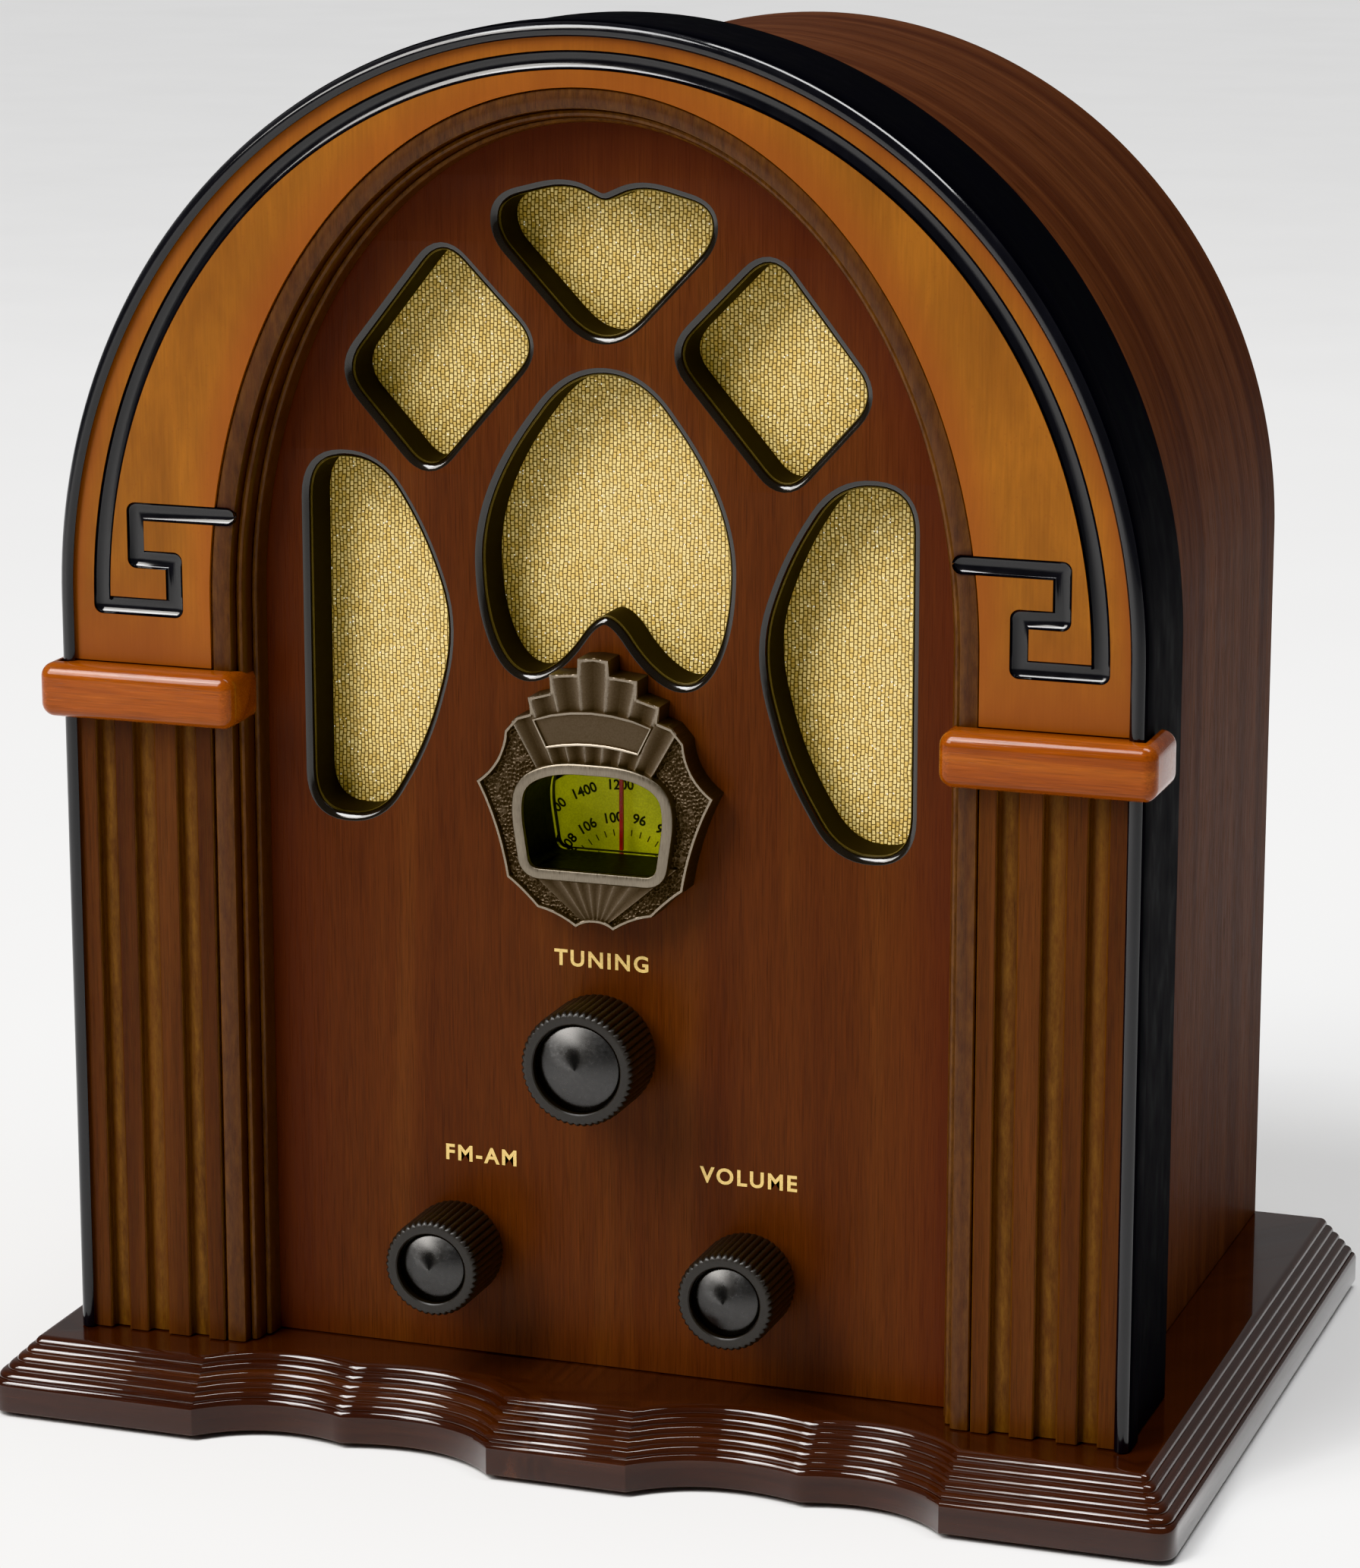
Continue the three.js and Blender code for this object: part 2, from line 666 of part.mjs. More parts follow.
const bushing = [
  [3.2, 33],
  [6.5, 33],
  [6.5, 35.2],
  [4.6, 35.2],
  [4.6, 39.5],
  [3.2, 39.5],
];
add("tuning_bushing", "brass", turned(bushing, TUNING.x, TUNING.z));
function controlBody({ x, z }) {
  const collar = rod(x, z, 4.5, 34.3, 38);
  return cut(join(rod(x, z, 12, 37.3, 50, 24), collar), rod(x, z, SHAFT_R + CLEARANCE, 30, 43));
}
add("mode_switch", "blackPlastic", controlBody(MODE));
const terminals = block(VOLUME.x - 8, VOLUME.x + 8, 38, 40, VOLUME.z - 17, VOLUME.z - 8);
add("volume_control", "steel", join(controlBody(VOLUME), terminals));

// A sheet with its sides folded forward to the panel, and a tab above that carries the lamp.
function chassisBracket() {
  const { w, low, high, tab, front, back } = BRACKET;
  const sheet = back - front;
  const half = [
    [w - sheet, PANEL.back + CLEARANCE],
    [w, PANEL.back + CLEARANCE],
    [w, back],
  ];
  const inside = [w - sheet, front];
  const folded = prism([inside, ...half, ...mirrored(half), [-inside[0], front]], low, high);
  const holes = [
    rod(0, DIAL.z, 3.8, front - 1, back + 1),
    ...[TUNING, MODE, VOLUME].map(({ x, z }) => rod(x, z, 4.9, front - 1, back + 1)),
  ];
  return cut(join(folded, block(-10, 10, front, back, high - 4, tab)), ...holes);
}
add("chassis_bracket", "steel", chassisBracket());
const capacitorBody = block(-17, 17, BRACKET.back + CLEARANCE, 60, 101, 134);
add("tuning_capacitor", "steel", cut(capacitorBody, rod(0, DIAL.z, SHAFT_R + 0.3, 30, 47)));
add("lamp_holder", "blackPlastic", block(-6, 6, 31.6, BRACKET.front - CLEARANCE, 143.4, 149.6));
const bulb = [
  [0, 26.6],
  [1.4, 27.1],
  [2.2, 28.6],
  [2.2, 31.3],
  [0, 31.3],
];
add("dial_lamp", "clear", turned(bulb, 0, 146.8, 20));

// ---- Receiver ----

const { low: boardLow, high: boardTop } = BOARD;
add("main_board", "board", block(-BOARD.w, BOARD.w, BOARD.front, BOARD.back, boardLow, boardTop));
const RAIL = { x: 74, half: 4, low: LEDGE_Z + CLEARANCE };
const rails = [-1, 1].map((side) => {
  const middle = side * RAIL.x;
  const [left, right] = [middle - RAIL.half, middle + RAIL.half];
  return block(left, right, BOARD.front, BOARD.back, RAIL.low, boardLow - CLEARANCE);
});
add("board_stand", "fibreboard", join(...rails, block(-RAIL.x, RAIL.x, 100, 112, RAIL.low, RAIL.low + 3)));
const onBoard = boardTop + CLEARANCE;
add("filter_capacitor", "glossBlack", post(-14, 84, 8, onBoard, 52));
add("receiver_module", "board", block(36, 62, 90, 122, onBoard, 29));
const ROD = { y: 138, z: 36, r: 5 };
add("ferrite_rod", "ferrite", rod(0, 0, ROD.r, -62, 62, 20).rotateZ(Math.PI / 2).translate(0, ROD.y, ROD.z));
const coilProfile = [
  [ROD.r + CLEARANCE, -34],
  [8.5, -34],
  [8.5, -8],
  [ROD.r + CLEARANCE, -8],
];
const coil = turned(coilProfile, 0, 0, 24).rotateZ(-Math.PI / 2);
add("ferrite_coil", "copper", coil.translate(0, ROD.y, ROD.z));
// Two open-topped saddles on one strip hold the rod.
function rodSaddle() {
  const strip = block(-52, 52, ROD.y - 3, ROD.y + 3, onBoard, onBoard + 1.2);
  const saddles = [-52, 52].map((x) => block(x - 3, x + 3, ROD.y - 8, ROD.y + 8, onBoard, ROD.z + 3));
  const seat = rod(0, 0, ROD.r + CLEARANCE, -60, 60, 20).rotateZ(Math.PI / 2).translate(0, ROD.y, ROD.z);
  const mouth = block(-60, 60, ROD.y - ROD.r - CLEARANCE, ROD.y + ROD.r + CLEARANCE, ROD.z, ROD.z + 10);
  return cut(join(strip, ...saddles), seat, mouth);
}
add("rod_saddle", "blackPlastic", rodSaddle());

// ---- Back ----

const JACKS = {
  power_inlet: { x: 52, z: 52, body: 6, barrel: 4.6, bore: 2.7, reach: 158 },
  aux_jack: { x: 30, z: 52, body: 5, barrel: 3.2, bore: 1.8, reach: 157.6 },
  antenna_terminal: { x: -52, z: 52, body: 5, barrel: 3.6, bore: 1.2, reach: 158.4 },
};
const vents = [];
for (let row = 0; row < 6; row++)
  for (const side of [-1, 0, 1]) {
    const [x, z] = [side * 34, 168 + row * 12];
    vents.push(block(x - 13, x + 13, REAR.front - 1, REAR.back + 1, z, z + 4));
  }
const throughRear = (x, z, r) => rod(x, z, r, REAR.front - 1, REAR.back + 1);
const rearTools = [
  ...vents,
  ...Object.values(JACKS).map(({ x, z, barrel }) => throughRear(x, z, barrel + CLEARANCE)),
  ...SCREWS.map(([x, z]) => throughRear(x, z, 2)),
];
const rearPlate = archPlate(REAR, LEDGE_Z + CLEARANCE, REAR.front, REAR.back);
add("rear_panel", "fibreboard", cut(rearPlate, ...rearTools));

for (const [name, { x, z, body, barrel, bore, reach }] of Object.entries(JACKS)) {
  const outside = join(rod(x, z, body, 138, REAR.front - CLEARANCE), rod(x, z, barrel, 150, reach));
  add(name, "blackPlastic", cut(outside, rod(x, z, bore, 146, reach + 1, 16)));
}

for (const [name, side] of [["left", -1], ["right", 1]]) {
  const [a, b] = [side * 86.5, side * 98.6];
  const strip = block(Math.min(a, b), Math.max(a, b), 136, REAR.front - CLEARANCE, LEDGE_Z + CLEARANCE, 172);
  const pilots = SCREWS.filter(([x]) => x * side > 0).map(([x, z]) => rod(x, z, 2, 142, REAR.front, 16));
  add("rear_cleat_" + name, "fibreboard", cut(strip, ...pilots));
}
const screwProfile = [
  [0, 144],
  [1.6, 144.6],
  [1.6, REAR.back + 0.2],
  [3.6, REAR.back + 0.2],
  [3.2, 157.6],
  [0, 158.2],
];
SCREWS.forEach(([x, z], i) => add("rear_screw_" + (i + 1), "brass", turned(screwProfile, x, z, 16)));

assembly.position.y = (FRONT_REACH - CABINET_BACK) / 2;
export default radio;
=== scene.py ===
"""Cathedral radio: the looks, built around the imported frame.

Shapes are laid out in millimetres: x to the right, y backwards from the arch panel's front face, z up from
the floor.
"""

import math

import bmesh
import bpy
import numpy as np
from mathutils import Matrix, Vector, geometry, kdtree

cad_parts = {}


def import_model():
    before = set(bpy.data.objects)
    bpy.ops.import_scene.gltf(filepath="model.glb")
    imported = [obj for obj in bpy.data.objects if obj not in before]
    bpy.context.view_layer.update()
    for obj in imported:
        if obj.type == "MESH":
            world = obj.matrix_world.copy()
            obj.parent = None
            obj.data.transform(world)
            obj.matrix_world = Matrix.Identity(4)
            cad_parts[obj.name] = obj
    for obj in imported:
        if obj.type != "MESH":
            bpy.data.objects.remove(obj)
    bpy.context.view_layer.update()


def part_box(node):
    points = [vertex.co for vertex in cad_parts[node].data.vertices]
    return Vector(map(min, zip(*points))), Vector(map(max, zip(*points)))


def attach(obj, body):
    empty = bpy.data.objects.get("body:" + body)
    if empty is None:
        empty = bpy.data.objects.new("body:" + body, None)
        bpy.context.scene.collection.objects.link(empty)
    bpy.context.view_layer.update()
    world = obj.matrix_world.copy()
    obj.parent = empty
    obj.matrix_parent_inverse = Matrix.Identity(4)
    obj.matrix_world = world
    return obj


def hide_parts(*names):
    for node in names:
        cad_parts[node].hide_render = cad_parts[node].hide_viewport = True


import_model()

MM = 0.001
FACE_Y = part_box("arch_panel")[0][1]
LEDGE_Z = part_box("base_plinth")[1][2] / MM
FOOT_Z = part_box("foot_front_left")[1][2] / MM + 0.1
CABINET_BACK = (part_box("base_plinth")[1][1] - FACE_Y) / MM
FRONT_REACH = (FACE_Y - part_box("base_plinth")[0][1]) / MM

SPRING_Z = 177.2
OUTER = (115.0, 121.2)
INNER = (83.0, 110.0)
WRAP = (107.0, 112.9)
WRAP_WALL = 8.0
FACE_DEPTH = 11.7
PANEL_FRONT, PANEL_BACK = 12.0, 23.0
WRAP_FRONT = 23.3
EDGE_BACK = 33.4
CLEARANCE = 0.3
ARCH_STEPS = 120

CAPITAL_LOW, CAPITAL_HIGH = (corner[2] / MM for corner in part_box("capital_left"))
CAPITAL_INNER, CAPITAL_OUTER, CAPITAL_FRONT = 76.0, 120.5, -6.0
FLUTES = ((87.1, 91.5), (96.6, 101.4), (105.8, 110.0))
DIAL_Z, DIAL_FRONT = 117.3, 24.6
DIAL_PRINT = DIAL_FRONT - 0.05
KNOBS = {
    "tuning": {"x": 0.0, "z": 86.8, "r": 12.4, "front": -6.2, "insert": 9.2, "flutes": 52},
    "mode": {"x": -32.5, "z": 40.2, "r": 10.5, "front": -7.0, "insert": 7.3, "flutes": 44},
    "volume": {"x": 32.5, "z": 40.2, "r": 10.5, "front": -7.0, "insert": 7.3, "flutes": 44},
}
KNOB_BACK = 9.0


# ---- Shape helpers ----


def world(point):
    """A point in millimetres from the arch panel's front face, in the frame's metres."""
    return (point[0] * MM, FACE_Y + point[1] * MM, point[2] * MM)


def clean(mesh):
    """Welds points that coincide and turns the faces outwards."""
    shape = bmesh.new()
    shape.from_mesh(mesh)
    bmesh.ops.remove_doubles(shape, verts=shape.verts, dist=1e-7)
    bmesh.ops.recalc_face_normals(shape, faces=shape.faces)
    shape.to_mesh(mesh)
    shape.free()


def piece(name, points, faces, looks, replaces=(), body="cabinet", face_looks=None, uv=None, wear=None,
          sharp=32):
    """A mesh object that rides on a body. uv and wear are given for each point."""
    mesh = bpy.data.meshes.new(name)
    mesh.from_pydata([world(p) for p in points], [], faces)
    for look in looks:
        mesh.materials.append(look)
    if face_looks is not None:
        mesh.polygons.foreach_set("material_index", face_looks)
    loops = np.zeros(len(mesh.loops), dtype=np.int32)
    mesh.loops.foreach_get("vertex_index", loops)
    if uv is not None:
        layer = mesh.uv_layers.new(name="grain")
        layer.data.foreach_set("uv", np.asarray(uv, dtype=np.float32)[loops].ravel())
    if wear is not None:
        attribute = mesh.attributes.new("wear", "FLOAT", "POINT")
        attribute.data.foreach_set("value", np.asarray(wear, dtype=np.float32))
    clean(mesh)
    mesh.shade_smooth()
    mesh.set_sharp_from_angle(angle=math.radians(sharp))
    obj = bpy.data.objects.new(name, mesh)
    bpy.context.collection.objects.link(obj)
    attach(obj, body)
    if replaces:
        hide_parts(*replaces)
    return obj


def bend(start, control, end, steps):
    """A quadratic Bezier curve, without its first point."""
    out = []
    for i in range(1, steps + 1):
        t = i / steps
        weights = ((1 - t) ** 2, 2 * t * (1 - t), t * t)
        out.append(tuple(sum(w * p[k] for w, p in zip(weights, (start, control, end))) for k in (0, 1)))
    return out


def rounded(corners, steps=8):
    """Rounds each corner (u, v, reach) of a closed outline, as the frame's own outlines are rounded."""
    out = []
    for i, (u, v, reach) in enumerate(corners):
        here = Vector((u, v))
        ends = []
        for other in (corners[i - 1], corners[(i + 1) % len(corners)]):
            edge = Vector(other[:2]) - here
            ends.append(here + edge.normalized() * min(reach, 0.48 * edge.length))
        out.append(tuple(ends[0]))
        out += bend(ends[0], (u, v), ends[1], steps)
    return out


def mirrored(points):
    return [(-p[0], *p[1:]) for p in reversed(points)]


def both_sides(half):
    """Half an outline, from the top centre to the bottom centre, with its mirror image."""
    return [*half, *mirrored(half)[1:-1]]


def resampled(outline, spacing):
    """Adds points to a closed outline so that no edge is longer than the spacing."""
    out = []
    for i, here in enumerate(outline):
        after = outline[(i + 1) % len(outline)]
        count = max(1, math.ceil(math.dist(here, after) / spacing))
        for k in range(count):
            t = k / count
            out.append(tuple(a * (1 - t) + b * t for a, b in zip(here, after)))
    return out


def offset(outline, distance):
    """Moves a closed outline along its corner normals, outwards where the distance is positive."""
    points = np.array(outline)
    edges = np.roll(points, -1, axis=0) - points
    lengths = np.linalg.norm(edges, axis=1, keepdims=True)
    normals = np.stack([edges[:, 1], -edges[:, 0]], axis=1) / np.maximum(lengths, 1e-9)
    corner = normals + np.roll(normals, 1, axis=0)
    corner /= np.maximum(np.linalg.norm(corner, axis=1, keepdims=True), 1e-9)
    x, y = points[:, 0], points[:, 1]
    turn = np.sign(np.sum(x * np.roll(y, -1) - np.roll(x, -1) * y))
    return [tuple(p) for p in points + corner * distance * turn]


def arch_line(arch, foot, steps=ARCH_STEPS):
    """The arch (half width, rise) from its left foot over the top to its right foot."""
    w, h = arch
    points = [(-w, foot)]
    for i in range(steps + 1):
        angle = math.pi * (1 - i / steps)
        points.append((w * math.cos(angle), SPRING_Z + h * math.sin(angle)))
    return [*points, (w, foot)]


def grown(arch, by):
    return (arch[0] + by, arch[1] + by)


def quads(rows, columns):
    """Faces of a grid of rows x columns points, joined round each row."""
    faces = []
    for r in range(rows - 1):
        for c in range(columns):
            d = (c + 1) % columns
            faces.append((r * columns + c, r * columns + d, (r + 1) * columns + d, (r + 1) * columns + c))
    return faces


def tube(rows, columns):
    """Faces of a grid joined round each row, with its first and last rows closed."""
    ends = [tuple(range(columns)), tuple(range((rows - 1) * columns, rows * columns))]
    return quads(rows, columns) + ends


def loop(rows, columns):
    """Faces of a grid joined round each row, with its last row joined to its first."""
    last = (rows - 1) * columns
    closing = [(last + c, last + (c + 1) % columns, (c + 1) % columns, c) for c in range(columns)]
    return quads(rows, columns) + closing


def running_length(points):
    steps = [0.0] + [math.dist(a, b) for a, b in zip(points, points[1:])]
    return list(np.cumsum(steps))


def arch_sweep(section, arch, foot):
    """Sweeps a closed section of (outward offset, y) points along an arch; also gives grain coordinates."""
    lines = [arch_line(grown(arch, out), foot) for out, _ in section]
    along = running_length(arch_line(arch, foot))
    across = running_length(section)
    points, uv = [], []
    for s, distance in enumerate(along):
        for k, (_, y) in enumerate(section):
            x, z = lines[k][s]
            points.append((x, y, z))
            uv.append((distance * MM, across[k] * MM))
    return points, tube(len(along), len(section)), uv


def path_sweep(path, section, turn_steps=7, tip=0.0):
    """Sweeps a closed section of (sideways, y) points along an open path of (x, z) points.

    Sharp corners are rounded on their outside, as a round cutter leaves them, and each end narrows to a
    round tip.
    """
    stations = []
    for i, here in enumerate(path):
        here = Vector(here)
        into = (here - Vector(path[i - 1])).normalized() if i else (Vector(path[1]) - here).normalized()
        out = (Vector(path[i + 1]) - here).normalized() if i + 1 < len(path) else into
        sideways = [Vector((-d.y, d.x)) for d in (into, out)]
        turn = into.angle_signed(out)
        mitre = (sideways[0] + sideways[1]).normalized() / max(0.3, math.cos(turn / 2))
        steps = turn_steps if abs(turn) > 0.3 else 1
        for k in range(steps):
            share = k / (steps - 1) if steps > 1 else 0.5
            swung = sideways[0].slerp(sideways[1], share) if steps > 1 else mitre
            stations.append((here, swung, mitre, turn, 1.0))
    if tip:
        for end, order in ((0, 1), (-1, -1)):
            here, swung, mitre, turn, _ = stations[end]
            away = Vector((-swung.y, swung.x)) * order
            extra = []
            for angle in np.linspace(0.2, 1.5, 7):
                extra.append((here + away * tip * math.sin(angle), swung, mitre, 0.0, math.cos(angle)))
            stations = [*reversed(extra), *stations] if end == 0 else [*stations, *extra]
    points = []
    for here, swung, mitre, turn, scale in stations:
        for side, y in section:
            outside = side * turn > 0
            spot = here + (swung if outside or turn == 0.0 else mitre) * side * scale
            points.append((spot.x, y, spot.y))
    return points, tube(len(stations), len(section))


def prism(outline, low, high, to_point):
    """An outline given thickness; to_point(u, v, w) makes the 3-D point."""
    points = [to_point(u, v, low) for u, v in outline] + [to_point(u, v, high) for u, v in outline]
    return points, tube(2, len(outline))


def turned(profile, x, z, segments=96):
    """A closed profile of (radius, y) points turned about the Y axis through (x, z)."""
    points = []
    for i in range(segments):
        angle = 2 * math.pi * i / segments
        points += [(x + r * math.sin(angle), y, z + r * math.cos(angle)) for r, y in profile]
    count = len(profile)
    faces = []
    for i in range(segments):
        for k in range(count):
            j, m = (i + 1) % segments, (k + 1) % count
            faces.append((i * count + k, i * count + m, j * count + m, j * count + k))
    return points, faces


def carve(obj, tool):
    """Cuts one object out of another; the tool stays, for the caller to remove."""
    modifier = obj.modifiers.new("carve", "BOOLEAN")
    modifier.operation = "DIFFERENCE"
    modifier.solver = "EXACT"
    modifier.use_self = True
    modifier.object = tool
    carved = bpy.data.meshes.new_from_object(obj.evaluated_get(bpy.context.evaluated_depsgraph_get()))
    obj.modifiers.remove(modifier)
    obj.data = carved
    carved.set_sharp_from_angle(angle=math.radians(32))


def loose(name, points, faces):
    """A plain helper object that isn't a piece."""
    mesh = bpy.data.meshes.new(name)
    mesh.from_pydata([world(p) for p in points], [], faces)
    clean(mesh)
    obj = bpy.data.objects.new(name, mesh)
    bpy.context.collection.objects.link(obj)
    return obj


# ---- Materials ----


class Look:
    """A node-based material under construction."""

    def __init__(self, name, **shader):
        self.material = bpy.data.materials.new(name)
        self.material.use_nodes = True
        self.nodes = self.material.node_tree.nodes
        self.links = self.material.node_tree.links
        self.shader = self.nodes["Principled BSDF"]
        for socket, value in shader.items():
            self.shader.inputs[socket.replace("_", " ")].default_value = value

    def node(self, kind, links=None, **settings):
        made = self.nodes.new(kind)
        for key, value in settings.items():
            setattr(made, key, value)
        for socket, source in (links or {}).items():
            if isinstance(source, bpy.types.NodeSocket):
                self.links.new(source, made.inputs[socket])
            else:
                made.inputs[socket].default_value = source
        return made

    def place(self, scale, source="Object"):
        """Coordinates in millimetres, stretched by a scale for each axis."""
        if source == "UV":
            start = self.node("ShaderNodeUVMap", uv_map="grain").outputs["UV"]
        else:
            start = self.node("ShaderNodeTexCoord").outputs["Object"]
        size = [s / MM for s in scale]
        return self.node("ShaderNodeMapping", {"Vector": start, "Scale": size}).outputs["Vector"]

    def noise(self, scale, detail, rough, distortion=0.0, source="Object"):
        """Noise with its size set by one scale, or by one for each axis."""
        scale = scale if isinstance(scale, (tuple, list)) else (scale,) * 3
        links = {"Vector": self.place(scale, source), "Scale": 1.0, "Detail": detail, "Roughness": rough,
                 "Distortion": distortion}
        return self.node("ShaderNodeTexNoise", links).outputs["Fac"]

    def ramp(self, fac, *stops):
        made = self.node("ShaderNodeValToRGB", {"Fac": fac})
        elements = made.color_ramp.elements
        while len(elements) < len(stops):
            elements.new(0.5)
        for element, (position, color) in zip(elements, stops):
            element.position = position
            element.color = (*color, 1.0) if isinstance(color, tuple) else (color, color, color, 1.0)
        return made.outputs["Color"]

    def remap(self, value, low, high, start=0.0, end=1.0):
        """Turns low..high smoothly into start..end, and holds the ends beyond it."""
        links = {"Value": value, "From Min": low, "From Max": high, "To Min": start, "To Max": end}
        return self.node("ShaderNodeMapRange", links, interpolation_type="SMOOTHSTEP").outputs["Result"]

    def math(self, operation, a, b=0.0):
        return self.node("ShaderNodeMath", {0: a, 1: b}, operation=operation).outputs[0]

    def mix(self, fac, a, b, blend="MIX"):
        made = self.node("ShaderNodeMix", data_type="RGBA", blend_type=blend)
        for socket, source in ((made.inputs[0], fac), (made.inputs[6], a), (made.inputs[7], b)):
            if isinstance(source, bpy.types.NodeSocket):
                self.links.new(source, socket)
            else:
                socket.default_value = (*source, 1.0) if isinstance(source, tuple) else source
        return made.outputs[2]

    def bump(self, height, distance, strength=1.0):
        links = {"Height": height, "Distance": distance * MM, "Strength": strength}
        made = self.node("ShaderNodeBump", links).outputs["Normal"]
        self.links.new(made, self.shader.inputs["Normal"])

    def join(self, socket, source):
        self.links.new(source, self.shader.inputs[socket])


def arch_share(look, arch):
    """How far a point lies from the middle of an arch (0) towards its edge (1), as a socket."""
    split = look.node("ShaderNodeSeparateXYZ", {0: look.place((1, 1, 1))})
    x = look.math("DIVIDE", split.outputs[0], arch[0])
    above = look.math("MAXIMUM", look.math("SUBTRACT", split.outputs[2], SPRING_Z), 0.0)
    z = look.math("DIVIDE", above, arch[1])
    squares = look.math("ADD", look.math("MULTIPLY", x, x), look.math("MULTIPLY", z, z))
    return look.math("SQRT", squares), split


GRAIN = {"z": (1.0, 1.0, 0.03), "x": (0.03, 1.0, 1.0), "UV": (0.03, 1.0, 1.0)}


def wood(name, dark, middle, light, grain="z", rough=0.4, coat=0.0, coat_rough=0.15, figure=0.16, pores=0.5,
         burst=None, burst_color=(0.03, 0.012, 0.006), antique=None, specular=0.5):
    """Lacquered wood: broad figure, fine fibres and open pores along the grain, all along one direction."""
    look = Look(name, Coat_Weight=coat, Coat_Roughness=coat_rough, Roughness=rough,
                Specular_IOR_Level=specular)
    stretch = GRAIN[grain]
    source = "UV" if grain == "UV" else "Object"
    broad = look.noise([s * figure for s in stretch], 5.0, 0.6, 0.9, source)
    fibres = look.noise([s * 2.6 for s in stretch], 3.0, 0.7, 0.2, source)
    pits = look.noise([s * 4.5 if s > 0.5 else s * 3.2 for s in stretch], 1.0, 0.5, source=source)
    color = look.ramp(broad, (0.3, dark), (0.52, middle), (0.72, light))
    shade = look.ramp(fibres, (0.3, 0.72), (0.7, 1.12))
    color = look.mix(1.0, color, shade, "MULTIPLY")
    open_pores = look.ramp(pits, (0.60, 0.0), (0.68, 1.0))
    color = look.mix(look.math("MULTIPLY", open_pores, pores), color, tuple(c * 0.25 for c in dark))
    if burst:
        share, _ = arch_share(look, burst)
        mottled = look.math("ADD", share, look.math("MULTIPLY", look.math("SUBTRACT", broad, 0.5), 0.16))
        color = look.mix(look.remap(mottled, 0.72, 1.04, 0.0, 0.7), color, burst_color)
    if antique:
        wear = look.node("ShaderNodeAttribute", attribute_name="wear").outputs["Fac"]
        speckle = look.noise((0.9, 0.9, 0.22), 6.0, 0.75)
        amount = look.math("MULTIPLY", wear, look.ramp(speckle, (0.36, 0.25), (0.66, 1.0)))
        color = look.mix(amount, color, antique)
    look.join("Base Color", color)
    look.join("Roughness", look.ramp(fibres, (0.2, max(0.05, rough - 0.08)), (0.8, rough + 0.1)))
    look.bump(look.math("SUBTRACT", look.math("MULTIPLY", fibres, 0.5), open_pores), 0.035, 0.5)
    return look.material


def amber(name):
    """Amber lacquer over pale wood, darker towards the panel's borders."""
    look = Look(name, Roughness=0.36, Specular_IOR_Level=0.35)
    clouds = look.noise((0.05, 0.05, 0.02), 4.0, 0.6, 0.4)
    fibres = look.noise((2.2, 2.2, 0.1), 3.0, 0.6)
    specks = look.noise((1.6, 1.6, 1.2), 2.0, 0.6)
    color = look.ramp(clouds, (0.3, (0.150, 0.050, 0.0062)), (0.7, (0.26, 0.092, 0.0110)))
    color = look.mix(1.0, color, look.ramp(fibres, (0.3, 0.88), (0.7, 1.08)), "MULTIPLY")
    color = look.mix(look.remap(specks, 0.6, 0.72, 0.0, 0.3), color, (0.16, 0.042, 0.007))
    outer, split = arch_share(look, OUTER)
    inner, _ = arch_share(look, INNER)
    edge = look.math("MAXIMUM", look.remap(outer, 0.94, 1.0, 0.0, 0.7),
                     look.remap(inner, 1.0, 1.1, 0.65, 0.0))
    low = look.remap(split.outputs[2], CAPITAL_HIGH, CAPITAL_HIGH + 26.0, 0.7, 0.0)
    color = look.mix(look.math("MAXIMUM", edge, low), color, (0.19, 0.045, 0.008))
    look.join("Base Color", color)
    look.bump(fibres, 0.02, 0.4)
    return look.material


def lacquer(name, color=(0.004, 0.004, 0.005), rough=0.12, coat=0.6, specular=0.5):
    """Gloss lacquer with the slight unevenness of a sprayed coat."""
    look = Look(name, Coat_Weight=coat, Coat_Roughness=0.06, Roughness=rough, Specular_IOR_Level=specular)
    waves = look.noise((0.22, 0.22, 0.09), 3.0, 0.5)
    tint = look.ramp(waves, (0.3, color), (0.8, tuple(c * 1.6 + 0.001 for c in color)))
    look.join("Base Color", tint)
    look.join("Roughness", look.ramp(waves, (0.3, rough), (0.75, rough + 0.12)))
    look.bump(waves, 0.05, 0.35)
    return look.material


def plastic(name, color, rough, grain_size=2.5, bump=0.02, coat=0.0, specular=0.5):
    look = Look(name, Roughness=rough, Coat_Weight=coat, Coat_Roughness=0.1, Specular_IOR_Level=specular)
    fine = look.noise(grain_size, 3.0, 0.6)
    dark, light = (tuple(c * share for c in color) for share in (0.75, 1.2))
    look.join("Base Color", look.ramp(fine, (0.25, dark), (0.75, light)))
    look.join("Roughness", look.ramp(fine, (0.3, max(0.03, rough - 0.06)), (0.7, rough + 0.08)))
    look.bump(fine, bump, 0.4)
    return look.material


def metal(name, color, rough, stretch=(1.0, 1.0, 1.0), shade=0.5):
    """Metal with scratches drawn out along the axis whose stretch is small, under a dull, cloudy patina."""
    look = Look(name, Metallic=1.0, Roughness=rough)
    lines = look.noise([s * 6.0 for s in stretch], 2.0, 0.6)
    cloud = look.noise(0.12, 4.0, 0.6)
    base = look.ramp(cloud, (0.3, tuple(c * shade for c in color)), (0.7, color))
    look.join("Base Color", look.mix(1.0, base, look.ramp(lines, (0.3, 0.8), (0.7, 1.12)), "MULTIPLY"))
    look.join("Roughness", look.ramp(lines, (0.3, max(0.05, rough - 0.08)), (0.7, rough + 0.12)))
    look.bump(lines, 0.01, 0.5)
    return look.material


